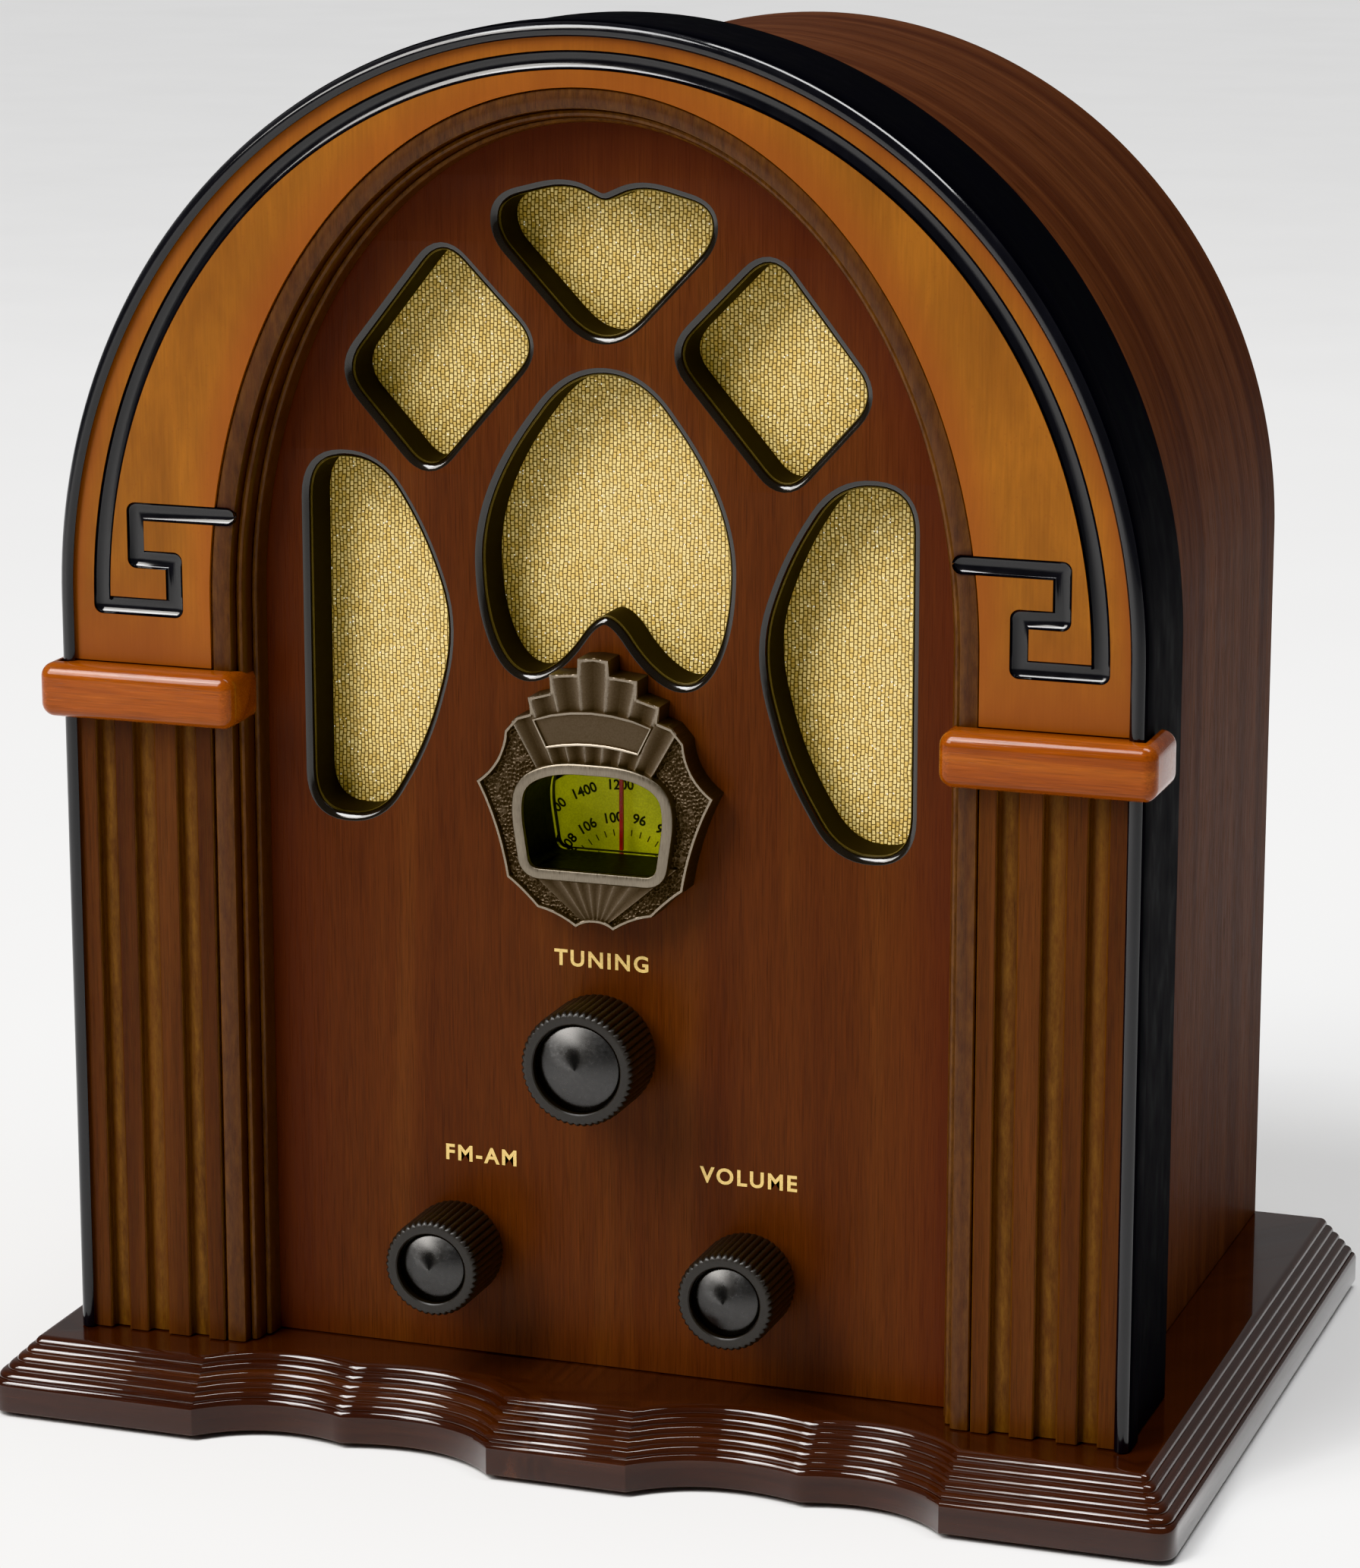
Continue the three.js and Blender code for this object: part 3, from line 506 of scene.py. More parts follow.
def spun(name):
    """Black metal turned on a lathe: its highlights run out from the middle."""
    look = Look(name, Metallic=1.0, Anisotropic=0.9)
    fine = look.noise(1.2, 2.0, 0.5)
    look.join("Base Color", look.ramp(fine, (0.3, (0.074, 0.073, 0.072)), (0.7, (0.084, 0.083, 0.082))))
    look.join("Roughness", look.ramp(fine, (0.3, 0.24), (0.7, 0.28)))
    look.join("Tangent", look.node("ShaderNodeTangent", direction_type="RADIAL", axis="Y").outputs["Tangent"])
    return look.material


def pewter():
    """Antiqued pewter: bright on what stands proud (wear), dark in the hollows."""
    look = Look("antique_pewter", Metallic=0.9, Roughness=0.4)
    fine = look.noise(3.0, 4.0, 0.7)
    wear = look.node("ShaderNodeAttribute", attribute_name="wear").outputs["Fac"]
    worn = look.math("ADD", wear, look.math("MULTIPLY", look.math("SUBTRACT", fine, 0.5), 0.3))
    color = look.ramp(worn, (0.0, (0.035, 0.026, 0.018)), (0.45, (0.115, 0.09, 0.066)),
                      (1.0, (0.48, 0.42, 0.34)))
    look.join("Base Color", color)
    look.join("Roughness", look.ramp(worn, (0.1, 0.52), (1.0, 0.25)))
    look.bump(fine, 0.03, 0.6)
    return look.material


def speaker_cloth():
    """Gold cloth: a plain weave of shining threads with bright flecks, which also glow with a painted glint.
    """
    look = Look("gold_cloth", Roughness=0.5, Sheen_Weight=0.3)
    split = look.node("ShaderNodeSeparateXYZ", {0: look.place((1, 1, 1))})
    flat = look.node("ShaderNodeCombineXYZ", {0: split.outputs[2], 1: split.outputs[0]}).outputs[0]
    wander = look.noise(0.25, 3.0, 0.5)
    shifted = look.node("ShaderNodeVectorMath", {0: flat, 1: wander}, operation="ADD").outputs[0]
    links = {"Vector": shifted, "Scale": 1.0, "Mortar Size": 0.17, "Mortar Smooth": 0.8, "Bias": 0.0,
             "Brick Width": 1.15, "Row Height": 0.84, "Color1": (0.78, 0.54, 0.15, 1.0),
             "Color2": (1.0, 0.79, 0.32, 1.0), "Mortar": (0.15, 0.085, 0.014, 1.0)}
    weave = look.node("ShaderNodeTexBrick", links, offset=0.5)
    fleck = look.node("ShaderNodeTexVoronoi", {"Vector": look.place((1.5, 1.5, 1.5)), "Scale": 1.0})
    random = look.node("ShaderNodeSeparateColor", {0: fleck.outputs["Color"]}).outputs[0]
    spark = look.ramp(random, (0.90, 0.0), (0.92, 1.0))
    near = look.ramp(fleck.outputs["Distance"], (0.18, 1.0), (0.3, 0.0))
    flecks_and_glint = look.math("MULTIPLY", spark, near)
    tone = look.ramp(look.noise(0.9, 4.0, 0.7), (0.3, 0.72), (0.7, 1.15))
    color = look.mix(1.0, weave.outputs["Color"], tone, "MULTIPLY")
    look.join("Base Color", look.mix(flecks_and_glint, color, (1.0, 0.97, 0.85)))
    look.join("Roughness", look.ramp(flecks_and_glint, (0.0, 0.5), (1.0, 0.15)))
    # Painted glint: the flecks emit light of their own, whatever the lamps.
    look.join("Emission Color", look.mix(flecks_and_glint, (0.0, 0.0, 0.0), (1.0, 0.9, 0.65)))
    look.shader.inputs["Emission Strength"].default_value = 0.35
    look.bump(look.math("SUBTRACT", 1.0, weave.outputs["Fac"]), 0.14, 0.9)
    return look.material


def clear(name):
    """Clear plastic with the faintest uneven tint."""
    tint = (0.95, 0.97, 0.96)
    look = Look(name, Transmission_Weight=1.0, Roughness=0.0, IOR=1.08)
    dust = look.noise(0.5, 4.0, 0.6)
    look.join("Base Color", look.ramp(dust, (0.3, tuple(c * 0.93 for c in tint)), (0.6, tint)))
    return look.material


def dial_paper():
    """Translucent yellow-green scale with a painted glow: it emits its own colour in place of the lamp behind
    it.
    """
    look = Look("dial_yellow", Roughness=0.5)
    cloud = look.noise(0.1, 3.0, 0.5)
    grain = look.noise(2.5, 2.0, 0.5)
    color = look.mix(1.0, look.ramp(cloud, (0.3, (0.42, 0.42, 0.015)), (0.7, (0.62, 0.60, 0.03))),
                     look.ramp(grain, (0.3, 0.85), (0.7, 1.1)), "MULTIPLY")
    look.join("Base Color", color)
    # Painted backlight: the scale's colour is emitted as light.
    look.join("Emission Color", color)
    look.shader.inputs["Emission Strength"].default_value = 0.22
    return look.material


LOOKS = {
    "walnut": wood("walnut_veneer", (0.042, 0.014, 0.008), (0.073, 0.027, 0.014), (0.11, 0.044, 0.023), "UV",
                   rough=0.5, figure=0.12, pores=0.6, specular=0.04),
    "base": wood("base_lacquered", (0.016, 0.0038, 0.002), (0.031, 0.0088, 0.0042), (0.058, 0.018, 0.0075),
                 "UV", rough=0.2, coat=1.0, coat_rough=0.035, figure=0.1, pores=0.3, specular=0.12),
    "panel": wood("red_walnut", (0.050, 0.0115, 0.0035), (0.070, 0.019, 0.0058), (0.094, 0.029, 0.0085), "z",
                  rough=0.36, figure=0.06, pores=0.3, burst=(79.0, 105.0),
                  burst_color=(0.055, 0.009, 0.004), specular=0.22),
    "fluted": wood("fluted_walnut", (0.034, 0.009, 0.004), (0.058, 0.017, 0.0055), (0.085, 0.027, 0.009), "z",
                   rough=0.36, figure=0.12, pores=0.35, antique=(0.125, 0.056, 0.013),
                   specular=0.22),
    "moulding": wood("moulding_walnut", (0.02, 0.006, 0.003), (0.034, 0.010, 0.0045), (0.05, 0.016, 0.006),
                     "z", rough=0.34, figure=0.2, pores=0.3, antique=(0.12, 0.048, 0.012),
                     specular=0.35),
    "capital": wood("capital_amber", (0.145, 0.027, 0.0035), (0.225, 0.050, 0.006), (0.31, 0.084, 0.0105),
                    "x", rough=0.22, coat=0.35, coat_rough=0.05, figure=0.1, pores=0.25, specular=0.2),
    "amber": amber("arch_amber"),
    "black": lacquer("black_lacquer", coat=0.5, specular=0.4),
    "satin": lacquer("satin_black", (0.003, 0.003, 0.0035), 0.5, coat=0.0, specular=0.02),
    "rim": lacquer("rim_lacquer", (0.006, 0.0045, 0.003), 0.1),
    "wall": lacquer("cut_wall_brown", (0.008, 0.0055, 0.0035), 0.5, coat=0.0, specular=0.06),
    "cloth": speaker_cloth(),
    "pewter": pewter(),
    "frame": metal("brushed_frame", (0.22, 0.19, 0.15), 0.34, (1.0, 1.0, 0.08), 0.8),
    "knob": plastic("knob_black", (0.017, 0.015, 0.013), 0.4, 1.6),
    "insert": spun("spun_black"),
    "tunnel": plastic("tunnel_black", (0.002, 0.002, 0.002), 0.4, 0.8, specular=0.03),
    "clear": clear("clear_acrylic"),
    "dial": dial_paper(),
    "ink": plastic("dial_ink", (0.008, 0.01, 0.004), 0.6),
    "pointer": plastic("pointer_red", (0.45, 0.010, 0.007), 0.35, 1.0),
    "gilt": plastic("gilt_lettering", (0.66, 0.47, 0.17), 0.45, 3.0),
    "fibreboard": wood("fibreboard", (0.11, 0.065, 0.032), (0.16, 0.10, 0.052), (0.21, 0.14, 0.075), "z",
                       rough=0.8, figure=1.2, pores=0.2),
    "steel": metal("zinc_steel", (0.5, 0.5, 0.52), 0.35),
    "brass": metal("turned_brass", (0.55, 0.38, 0.14), 0.28),
    "ferrite": plastic("ferrite_grey", (0.04, 0.04, 0.045), 0.6, 1.2),
    "copper": metal("enamelled_copper", (0.5, 0.2, 0.08), 0.3, (6.0, 0.3, 0.3)),
    "board": plastic("solder_mask", (0.012, 0.11, 0.045), 0.35, 0.8, coat=0.4),
    "paper_cone": plastic("pressed_paper", (0.02, 0.02, 0.022), 0.85, 1.4, 0.08),
    "rubber": plastic("rubber_black", (0.01, 0.01, 0.01), 0.75, 1.5),
}


# ---- Base ----


def plinth_plan(share):
    """The base's plan, from the slab's face (0) to the ledge's edge (1)."""
    def mix(slab, ledge):
        return slab + (ledge - slab) * share
    half, front = mix(130.8, 122.0), -mix(FRONT_REACH, 8.7)
    kink, cusp, middle = mix(82.5, 84.0), 51.0, mix(15.4, 13.6)
    corner = mix(5.0, 1.0)
    right = [
        (0.0, front),
        (middle, front),
        *bend((middle, front), (middle + 13.4, front + 13.5), (cusp, front + 6.5), 18),
        *bend((cusp, front + 6.5), (kink - 12.5, front + 13.1), (kink, front), 18),
        (half - corner, front),
        *bend((half - corner, front), (half, front), (half, front + corner), 8),
        (half, CABINET_BACK),
        (0.0, CABINET_BACK),
    ]
    return both_sides(right)


def base_plinth():
    slab_top, beads, nose = 8.35, 5, 7
    start, end = 0.11, 0.97
    levels = [(0.02, FOOT_Z), (0.0, FOOT_Z + 0.5), (0.0, slab_top - 1.6)]
    for a in np.linspace(0.2, math.pi / 2, 6):
        levels.append((0.09 * (1 - math.cos(a)), slab_top - 1.6 + 1.6 * math.sin(a)))
    rise = (LEDGE_Z - slab_top) / beads
    run = (end - start) / beads
    for i in range(beads):
        for k in range(nose + 1):
            angle = math.pi / 2 * k / nose
            dip = 0.1 if k == 0 else 0.0
            share = start + i * run + run * (1 - math.cos(angle))
            levels.append((share, slab_top + i * rise + rise * math.sin(angle) - dip))
    levels.append((1.0, LEDGE_Z))
    points, uv = [], []
    height = running_length([(s * 11.0, z) for s, z in levels])
    for (share, z), h in zip(levels, height):
        plan = plinth_plan(share)
        along = running_length(plan)
        points += [(x, y, z) for x, y in plan]
        uv += [(a * MM, h * MM) for a in along]
    faces = tube(len(levels), len(plinth_plan(0)))
    piece("plinth_moulded", points, faces, [LOOKS["base"]], ["base_plinth"], uv=uv, sharp=40)


# ---- Cabinet ----


def cabinet():
    back, front = CABINET_BACK, WRAP_FRONT
    section = [(0, front), (0, back - 1.2), (-0.35, back - 0.35), (-1.2, back), (1.2 - WRAP_WALL, back),
               (-WRAP_WALL, back - 1.2), (-WRAP_WALL, front)]
    points, faces, uv = arch_sweep(section, WRAP, LEDGE_Z + CLEARANCE)
    piece("cabinet_arch", points, faces, [LOOKS["walnut"]], ["cabinet_wrap"], uv=uv)

    round_front = np.linspace(0, math.pi, 17)[:13]
    bead = [(2.1 - 1.9 * (1 - math.cos(a)), 0.9 - 2.6 * math.sin(a)) for a in round_front]
    wrap_gap = WRAP[0] - OUTER[0] + CLEARANCE
    section = [(0.1, FACE_DEPTH + 0.2), (0.1, 0.2), (0.1, -0.2), (0.25, -0.55), (0.45, -0.4), *reversed(bead),
               (2.1, 6.2), (1.9, 7.0), (1.3, 7.4), (1.2, 8.2), (1.2, EDGE_BACK - 0.6), (0.8, EDGE_BACK),
               (wrap_gap, EDGE_BACK), (wrap_gap, WRAP_FRONT), (-3.6, WRAP_FRONT), (-3.6, FACE_DEPTH + 0.2)]
    points, faces, uv = arch_sweep(section, OUTER, LEDGE_Z + CLEARANCE)
    edges = zip(section, [*section[1:], section[0]])
    satin = [min(a[1], b[1]) > 5 or min(a[0], b[0]) > 1.7 for a, b in edges]
    kinds = [int(satin[f % len(section)]) for f in range(len(faces) - 2)] + [1, 1]
    piece("edge_band", points, faces, [LOOKS["black"], LOOKS["satin"]], ["edge_moulding"],
          face_looks=kinds, uv=uv, sharp=50)


# ---- Arch panel, routed line and inner moulding ----

LINE_HALF = 1.9
LINE_ARCH = (OUTER[0] - 7.4, 115.4)


def line_path():
    """The routed line from its left end at the inner moulding, over the arch, to its right end."""
    foot, middle, top = 176.2, 186.3, 196.4
    side = [(-79.0, top), (-99.6, top), (-99.6, middle), (-91.0, middle), (-91.0, foot)]
    arch = arch_line(LINE_ARCH, foot)
    return [*side, *arch, *mirrored(side)]


def line_tool(name):
    reach = LINE_HALF + 0.02
    section = [(-reach, -2.0), (reach, -2.0), (reach, 1.6), (-reach, 1.6)]
    return loose(name, *path_sweep(line_path(), section, tip=LINE_HALF + 0.1))


GRILLE_SECTION = [
    (-0.15, FACE_DEPTH), (-0.15, 0.75), (-0.4, 0.45), (-2.0, 0.3), (-3.7, 0.45), (-4.2, 0.8), (-4.35, 1.6),
    (-4.5, 3.4), (-4.8, 3.0), (-5.3, 2.85), (-5.85, 3.1), (-6.2, 3.8), (-6.3, 5.0), (-6.35, 7.3), (-6.6, 7.0),
    (-7.0, 7.0), (-7.4, 7.4), (-7.6, 8.4), (-7.7, FACE_DEPTH),
]
GRILLE_WEAR = [0.1, 0.3, 0.7, 0.35, 0.5, 0.7, 0.1, 0.0, 0.8, 1.0, 0.6, 0.2, 0.05, 0.0, 0.8, 1.0, 0.5, 0.25,
               0.3]


def arch_front():
    outside = arch_line(grown(OUTER, -0.1), CAPITAL_HIGH + CLEARANCE)
    inside = arch_line(INNER, CAPITAL_HIGH + CLEARANCE)
    ring = outside + list(reversed(inside))
    n = len(outside)
    points = [(x, y, z) for y in (0.0, FACE_DEPTH) for x, z in ring]
    faces = quads(2, 2 * n)
    for layer in (0, 2 * n):
        far = layer + 2 * n - 1
        faces += [(layer + i, layer + i + 1, far - 1 - i, far - i) for i in range(n - 1)]
    panel = piece("arch_front", points, faces, [LOOKS["amber"]], ["arch_panel"])
    tool = line_tool("line_cutter")
    carve(panel, tool)

    points, faces, uv = arch_sweep(GRILLE_SECTION, INNER, LEDGE_Z + CLEARANCE)
    wear = GRILLE_WEAR * (len(points) // len(GRILLE_WEAR))
    moulding = piece("grille_steps", points, faces, [LOOKS["moulding"]], ["grille_moulding"],
                     uv=uv, wear=wear, sharp=45)
    carve(moulding, tool)
    bpy.data.objects.remove(tool)

    trough = [(-LINE_HALF, 1.55)]
    for a in np.linspace(0.0, math.pi, 13):
        trough.append((-LINE_HALF * math.cos(a), 0.02 + 1.32 * math.sin(a) ** 0.8))
    trough += [(LINE_HALF, 1.55)]
    points, faces = path_sweep(line_path(), trough, tip=LINE_HALF)
    piece("routed_line", points, faces, [LOOKS["black"]], sharp=50)


def pilasters():
    for name, side in (("left", -1), ("right", 1)):
        inner, outer, ease = INNER[0] + CLEARANCE, OUTER[0] - 0.1, 0.25
        plan = [(inner, FACE_DEPTH), (inner, ease), (inner + ease, 0.0)]
        for a, b in FLUTES:
            plan += [(a - ease, 0.0), (a, ease), (a + 0.1, 1.5), (a + 0.5, 2.0), ((a + b) / 2, 1.85),
                     (b - 0.5, 2.0), (b - 0.1, 1.5), (b, ease), (b + ease, 0.0)]
        plan += [(outer - ease, 0.0), (outer, ease), (outer, FACE_DEPTH)]
        low, high = LEDGE_Z + CLEARANCE, CAPITAL_LOW - CLEARANCE
        points, faces = prism(plan, low, high, lambda u, v, w: (side * u, v, w))
        wear = [1.0 if 1.8 <= y < 1.95 else 0.75 if y == ease else 0.35 if 1.4 < y < 2.1 else 0.1
                for _, y, _ in points]
        piece("fluted_leg_" + name, points, faces, [LOOKS["fluted"]], ["pilaster_" + name],
              wear=wear)


def rounded_block(low, high, radius, steps=8):
    """A block between two corners with all its edges rounded."""
    arc = [math.pi / 2 * k / steps for k in range(steps + 1)]
    levels = [(radius * (1 - math.cos(a)), low[2] + radius * (1 - math.sin(a))) for a in reversed(arc)]
    levels += [(radius * (1 - math.cos(a)), high[2] - radius * (1 - math.sin(a))) for a in arc]
    points = []
    for inward, z in levels:
        corner = max(radius - inward, 0.05)
        x0, y0 = (low[k] + inward + corner for k in (0, 1))
        x1, y1 = (high[k] - inward - corner for k in (0, 1))
        for quarter, (cx, cy) in enumerate(((x1, y1), (x0, y1), (x0, y0), (x1, y0))):
            for a in arc:
                turn = a + quarter * math.pi / 2
                points.append((cx + corner * math.cos(turn), cy + corner * math.sin(turn), z))
    return points, tube(len(levels), 4 * (steps + 1))


def capitals():
    """Rounded blocks, hollowed at the back where they reach over the mouldings on either side."""
    for name, side in (("left", -1), ("right", 1)):
        low, high = sorted((side * CAPITAL_INNER, side * CAPITAL_OUTER))
        points, faces = rounded_block((low, CAPITAL_FRONT, CAPITAL_LOW), (high, 13.5, CAPITAL_HIGH), 3.0)
        obj = piece("capital_block_" + name, points, faces, [LOOKS["capital"]],
                    ["capital_" + name])
        plan = [(70.0, 7.2), (77.4, 6.9), (77.4, 2.6), (78.6, 0.05), (114.9, 0.05), (114.9, -2.0),
                (117.5, -2.0), (117.5, 20.0), (70.0, 20.0)]
        hollow = prism(plan, CAPITAL_LOW - 5, CAPITAL_HIGH + 5, lambda u, v, w: (side * u, v, w))
        tool = loose("hollow", *hollow)
        carve(obj, tool)
        bpy.data.objects.remove(tool)


# ---- Grille panel ----

FAN = rounded([(0, 263, 1.6), (8, 266.6, 6), (22.5, 262.8, 4.5), (22.8, 256, 4), (4, 236.2, 6),
               (-4, 236.2, 6), (-22.8, 256, 4), (-22.5, 262.8, 4.5), (-8, 266.6, 6)])
DIAMOND = rounded([(35.3, 254.5, 6.5), (57.3, 226.6, 6.5), (38.4, 205.6, 6.5), (14.6, 233.4, 6.5)])
BOW = rounded([(65.3, 207.9, 8.5), (50, 208.4, 8), (40, 193, 9), (33.4, 173.5, 14), (40, 150, 9),
               (50.5, 132.2, 8), (65.3, 132.7, 8.5)])
EGG = both_sides([
    (0, 228),
    *bend((0, 228), (8, 228), (14, 219.5), 12),
    *bend((14, 219.5), (27, 203), (26.7, 188), 16),
    *bend((26.7, 188), (26.5, 177), (23.2, 170.6), 9),
    *bend((23.2, 170.6), (19, 162.6), (12.5, 166.8), 12),
    *bend((12.5, 166.8), (9, 169), (5.8, 173.5), 6),
    *bend((5.8, 173.5), (2.6, 178.3), (0, 178.4), 8),
])


def window_outline(margin, steps=8):
    """The dial window's outline, with a low arched top, grown by a margin on every side."""
    side = [(7.5 + 0.5 * margin, 146.7 + margin, 5), (14.4 + 0.7 * margin, 143.9 + 0.8 * margin, 5),
            (15.5 + margin, 138.5, 4), (13.7 + margin, 126.3 - margin, 2.2 + 0.5 * margin)]
    return rounded([*side, *mirrored(side)], steps)


def circle(x, z, r, count=32):
    turn = np.linspace(0, 2 * math.pi, count, endpoint=False)
    return [(x + r * math.cos(a), z + r * math.sin(a)) for a in turn]


def grille_panel():
    """A plate whose six cut-outs have rounded black rims and dark walls."""
    outline = arch_line(grown(OUTER, -4), LEDGE_Z + CLEARANCE, 72)
    rims = [resampled(o, 1.2) for o in (FAN, DIAMOND, mirrored(DIAMOND), EGG, BOW, mirrored(BOW))]
    plain = [window_outline(1.8, 3)] + [circle(k["x"], k["z"], 5.5) for k in KNOBS.values()]
    radius, arcs = 1.7, 6
    points = [(x, PANEL_FRONT, z) for x, z in outline]
    front, back, faces, kinds = [outline], [outline], [], []
    front_ids, back_ids = [list(range(len(outline)))], []

    def ring(shape, y):
        start = len(points)
        points.extend((x, y, z) for x, z in shape)
        return list(range(start, start + len(shape)))

    def strip(upper, lower, kind):
        for i in range(len(upper)):
            j = (i + 1) % len(upper)
            faces.append((upper[i], upper[j], lower[j], lower[i]))
            kinds.append(kind)

    back_ids.append(ring(outline, PANEL_BACK))
    strip(front_ids[0], back_ids[0], 0)
    for shape in rims:
        rows = []
        for k in range(arcs + 1):
            angle = math.pi / 2 * k / arcs
            edge = offset(shape, radius * (1 - math.sin(angle)))
            rows.append(ring(edge, PANEL_FRONT + radius * (1 - math.cos(angle))))
        rows.append(ring(shape, PANEL_BACK))
        for k, (a, b) in enumerate(zip(rows, rows[1:])):
            strip(a, b, 1 if k < arcs else 2)
        front.append(offset(shape, radius))
        back.append(shape)
        front_ids.append(rows[0])
        back_ids.append(rows[-1])
    for shape in plain:
        rows = [ring(shape, PANEL_FRONT), ring(shape, PANEL_BACK)]
        strip(*rows, 2)
        front.append(shape)
        back.append(shape)
        front_ids.append(rows[0])
        back_ids.append(rows[1])
    for shapes, ids in ((front, front_ids), (back, back_ids)):
        flat = [i for ring_ids in ids for i in ring_ids]
        triangles = geometry.tessellate_polygon([[Vector((x, z, 0)) for x, z in shape] for shape in shapes])
        faces += [tuple(flat[i] for i in triangle) for triangle in triangles]
        kinds += [0] * len(triangles)
    piece("pierced_panel", points, faces, [LOOKS["panel"], LOOKS["rim"], LOOKS["wall"]],
          ["grille_panel"], face_looks=kinds, sharp=30)


def cloth():
    """The stretched speaker cloth, cut away below the speaker where the dial turns."""
    w, h, foot, notch, notch_top = 76.0, 96.0, 127.0, 29.0, 158.0
    arch = arch_line((w, h), foot, 64)
    outline = [*arch, (notch, foot), (notch, notch_top), (-notch, notch_top), (-notch, foot)]
    y = (sum(corner[1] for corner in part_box("speaker_cloth")) / 2 - FACE_Y) / MM
    points = [(x, y, z) for x, z in outline]
    triangles = geometry.tessellate_polygon([[Vector((x, z, 0)) for x, z in outline]])
    sheet = piece("gold_speaker_cloth", points, [tuple(t) for t in triangles], [LOOKS["cloth"]],
                  ["speaker_cloth"])


# ---- Escutcheon ----

ESCUTCHEON = both_sides([
    (0, 171.1), (3.3, 170.8), (3.5, 167.6), (9.6, 167), (9.5, 163.3), (14.3, 161.9), (14, 158.6), (17, 157.6),
    (19.6, 154.6),
    *bend((19.6, 154.6), (20.1, 147.6), (26, 143.5), 8),
    *bend((26, 143.5), (21.2, 134.5), (19.4, 123.4), 10),
    *bend((19.4, 123.4), (16.2, 121.2), (12.6, 117.4), 5),
    *bend((12.6, 117.4), (8.2, 116.6), (4.1, 113.8), 5),
    *bend((4.1, 113.8), (2.2, 115.2), (0, 115.1), 4),
])
BADGE_CENTRE = (0.0, 137.0)
BADGE_FIELD = 6.4
NAMEPLATE = both_sides([(0, 160.1), (4.6, 159.8), (9, 159), (13.0, 157.6), (10.1, 151.7), (6.5, 152.3),
                        (3, 152.7), (0, 152.8)])


def ray_lengths(outline, centre, angles):
    """How far the outline lies from the centre in each direction (0 is up, clockwise)."""
    lengths = np.zeros(len(angles))
    corners = np.array(outline) - np.array(centre)
    for a, b in zip(corners, np.roll(corners, -1, axis=0)):
        edge = b - a
        directions = np.stack([np.sin(angles), np.cos(angles)], axis=1)
        cross = directions[:, 0] * edge[1] - directions[:, 1] * edge[0]
        with np.errstate(divide="ignore", invalid="ignore"):
            t = (a[0] * edge[1] - a[1] * edge[0]) / cross
            s = (a[0] * directions[:, 1] - a[1] * directions[:, 0]) / cross
        hit = (t > 0) & (s >= -1e-9) & (s <= 1 + 1e-9)
        lengths[hit] = np.maximum(lengths[hit], t[hit])
    return lengths


def outline_distance(points, outline):
    """Distance from each point to the nearest edge of a closed outline."""
    best = np.full(len(points), 1e9)
    corners = np.array(outline, dtype=float)
    for a, b in zip(corners, np.roll(corners, -1, axis=0)):
        edge = b - a
        share = np.clip(((points - a) @ edge) / max(edge @ edge, 1e-12), 0, 1)
        best = np.minimum(best, np.linalg.norm(points - (a + share[:, None] * edge), axis=1))
    return best


def smooth(edge0, edge1, value):
    t = np.clip((value - edge0) / (edge1 - edge0), 0, 1)
    return t * t * (3 - 2 * t)


def hammering(flat, spacing=0.85, seed=7):
    """A repeatable field of dimples: 0 at their middles, 1 on the ridges between them."""
    low, high = flat.min(axis=0) - spacing, flat.max(axis=0) + spacing
    counts = np.ceil((high - low) / spacing).astype(int)
    random = np.random.default_rng(seed)
    cells = [np.array((i, j)) for i in range(counts[0]) for j in range(counts[1])]
    seeds = [low + spacing * (cell + random.random(2)) for cell in cells]
    tree = kdtree.KDTree(len(seeds))
    for index, spot in enumerate(seeds):
        tree.insert((spot[0], spot[1], 0.0), index)
    tree.balance()
    near = np.array([[hit[2] for hit in tree.find_n((x, z, 0.0), 2)] for x, z in flat])
    return np.clip(1 - (near[:, 1] - near[:, 0]) / (0.55 * spacing), 0, 1)


def badge_relief(flat):
    """Height over the badge's field, and wear, for points (x, z)."""
    rim_distance = outline_distance(flat, ESCUTCHEON)
    crest = np.degrees(np.abs(np.arctan2(flat[:, 0], flat[:, 1] - 125.0)))
    crest_share = smooth(30.2, 29.7, crest) * (flat[:, 1] > 137)
    foot = np.degrees(np.abs(np.arctan2(flat[:, 0], flat[:, 1] - 112.6)))
    foot_share = smooth(50.0, 49.0, foot) * (flat[:, 1] < 128)

    rim = smooth(0.95, 0.7, rim_distance) * smooth(-0.12, 0.22, rim_distance)
    pit = hammering(flat)
    height = 0.3 * pit
    wear = 0.04 + 0.3 * pit

    pleat = np.abs((crest / 8.4 + 0.5) % 1 - 0.5) * 2
    tier = 0.12 * sum(smooth(low, high, crest) for low, high in ((21.9, 21.5), (13.3, 12.9), (4.4, 4.1)))
    height = height * (1 - crest_share) + crest_share * (0.55 + tier + 0.75 * pleat)
    wear = wear * (1 - crest_share) + crest_share * (0.12 + 0.5 * pleat ** 2)

    ray = np.abs((foot / 14.0 + 0.5) % 1 - 0.5) * 2
    height = height * (1 - foot_share) + foot_share * (0.55 + 0.3 * ray)
    wear = wear * (1 - foot_share) + foot_share * (0.2 + 0.3 * ray ** 2)

    height = np.maximum(height, 1.35 * rim)
    wear = np.maximum(wear, 0.62 * rim)
    return height, wear


def outline_sweep(outline, profile):
    """Sweeps a closed profile of (outward offset, y) points round a closed outline of (x, z) points."""
    points = []
    for out, y in profile:
        points += [(x, y, z) for x, z in offset(outline, out)]
    return points, loop(len(profile), len(outline))


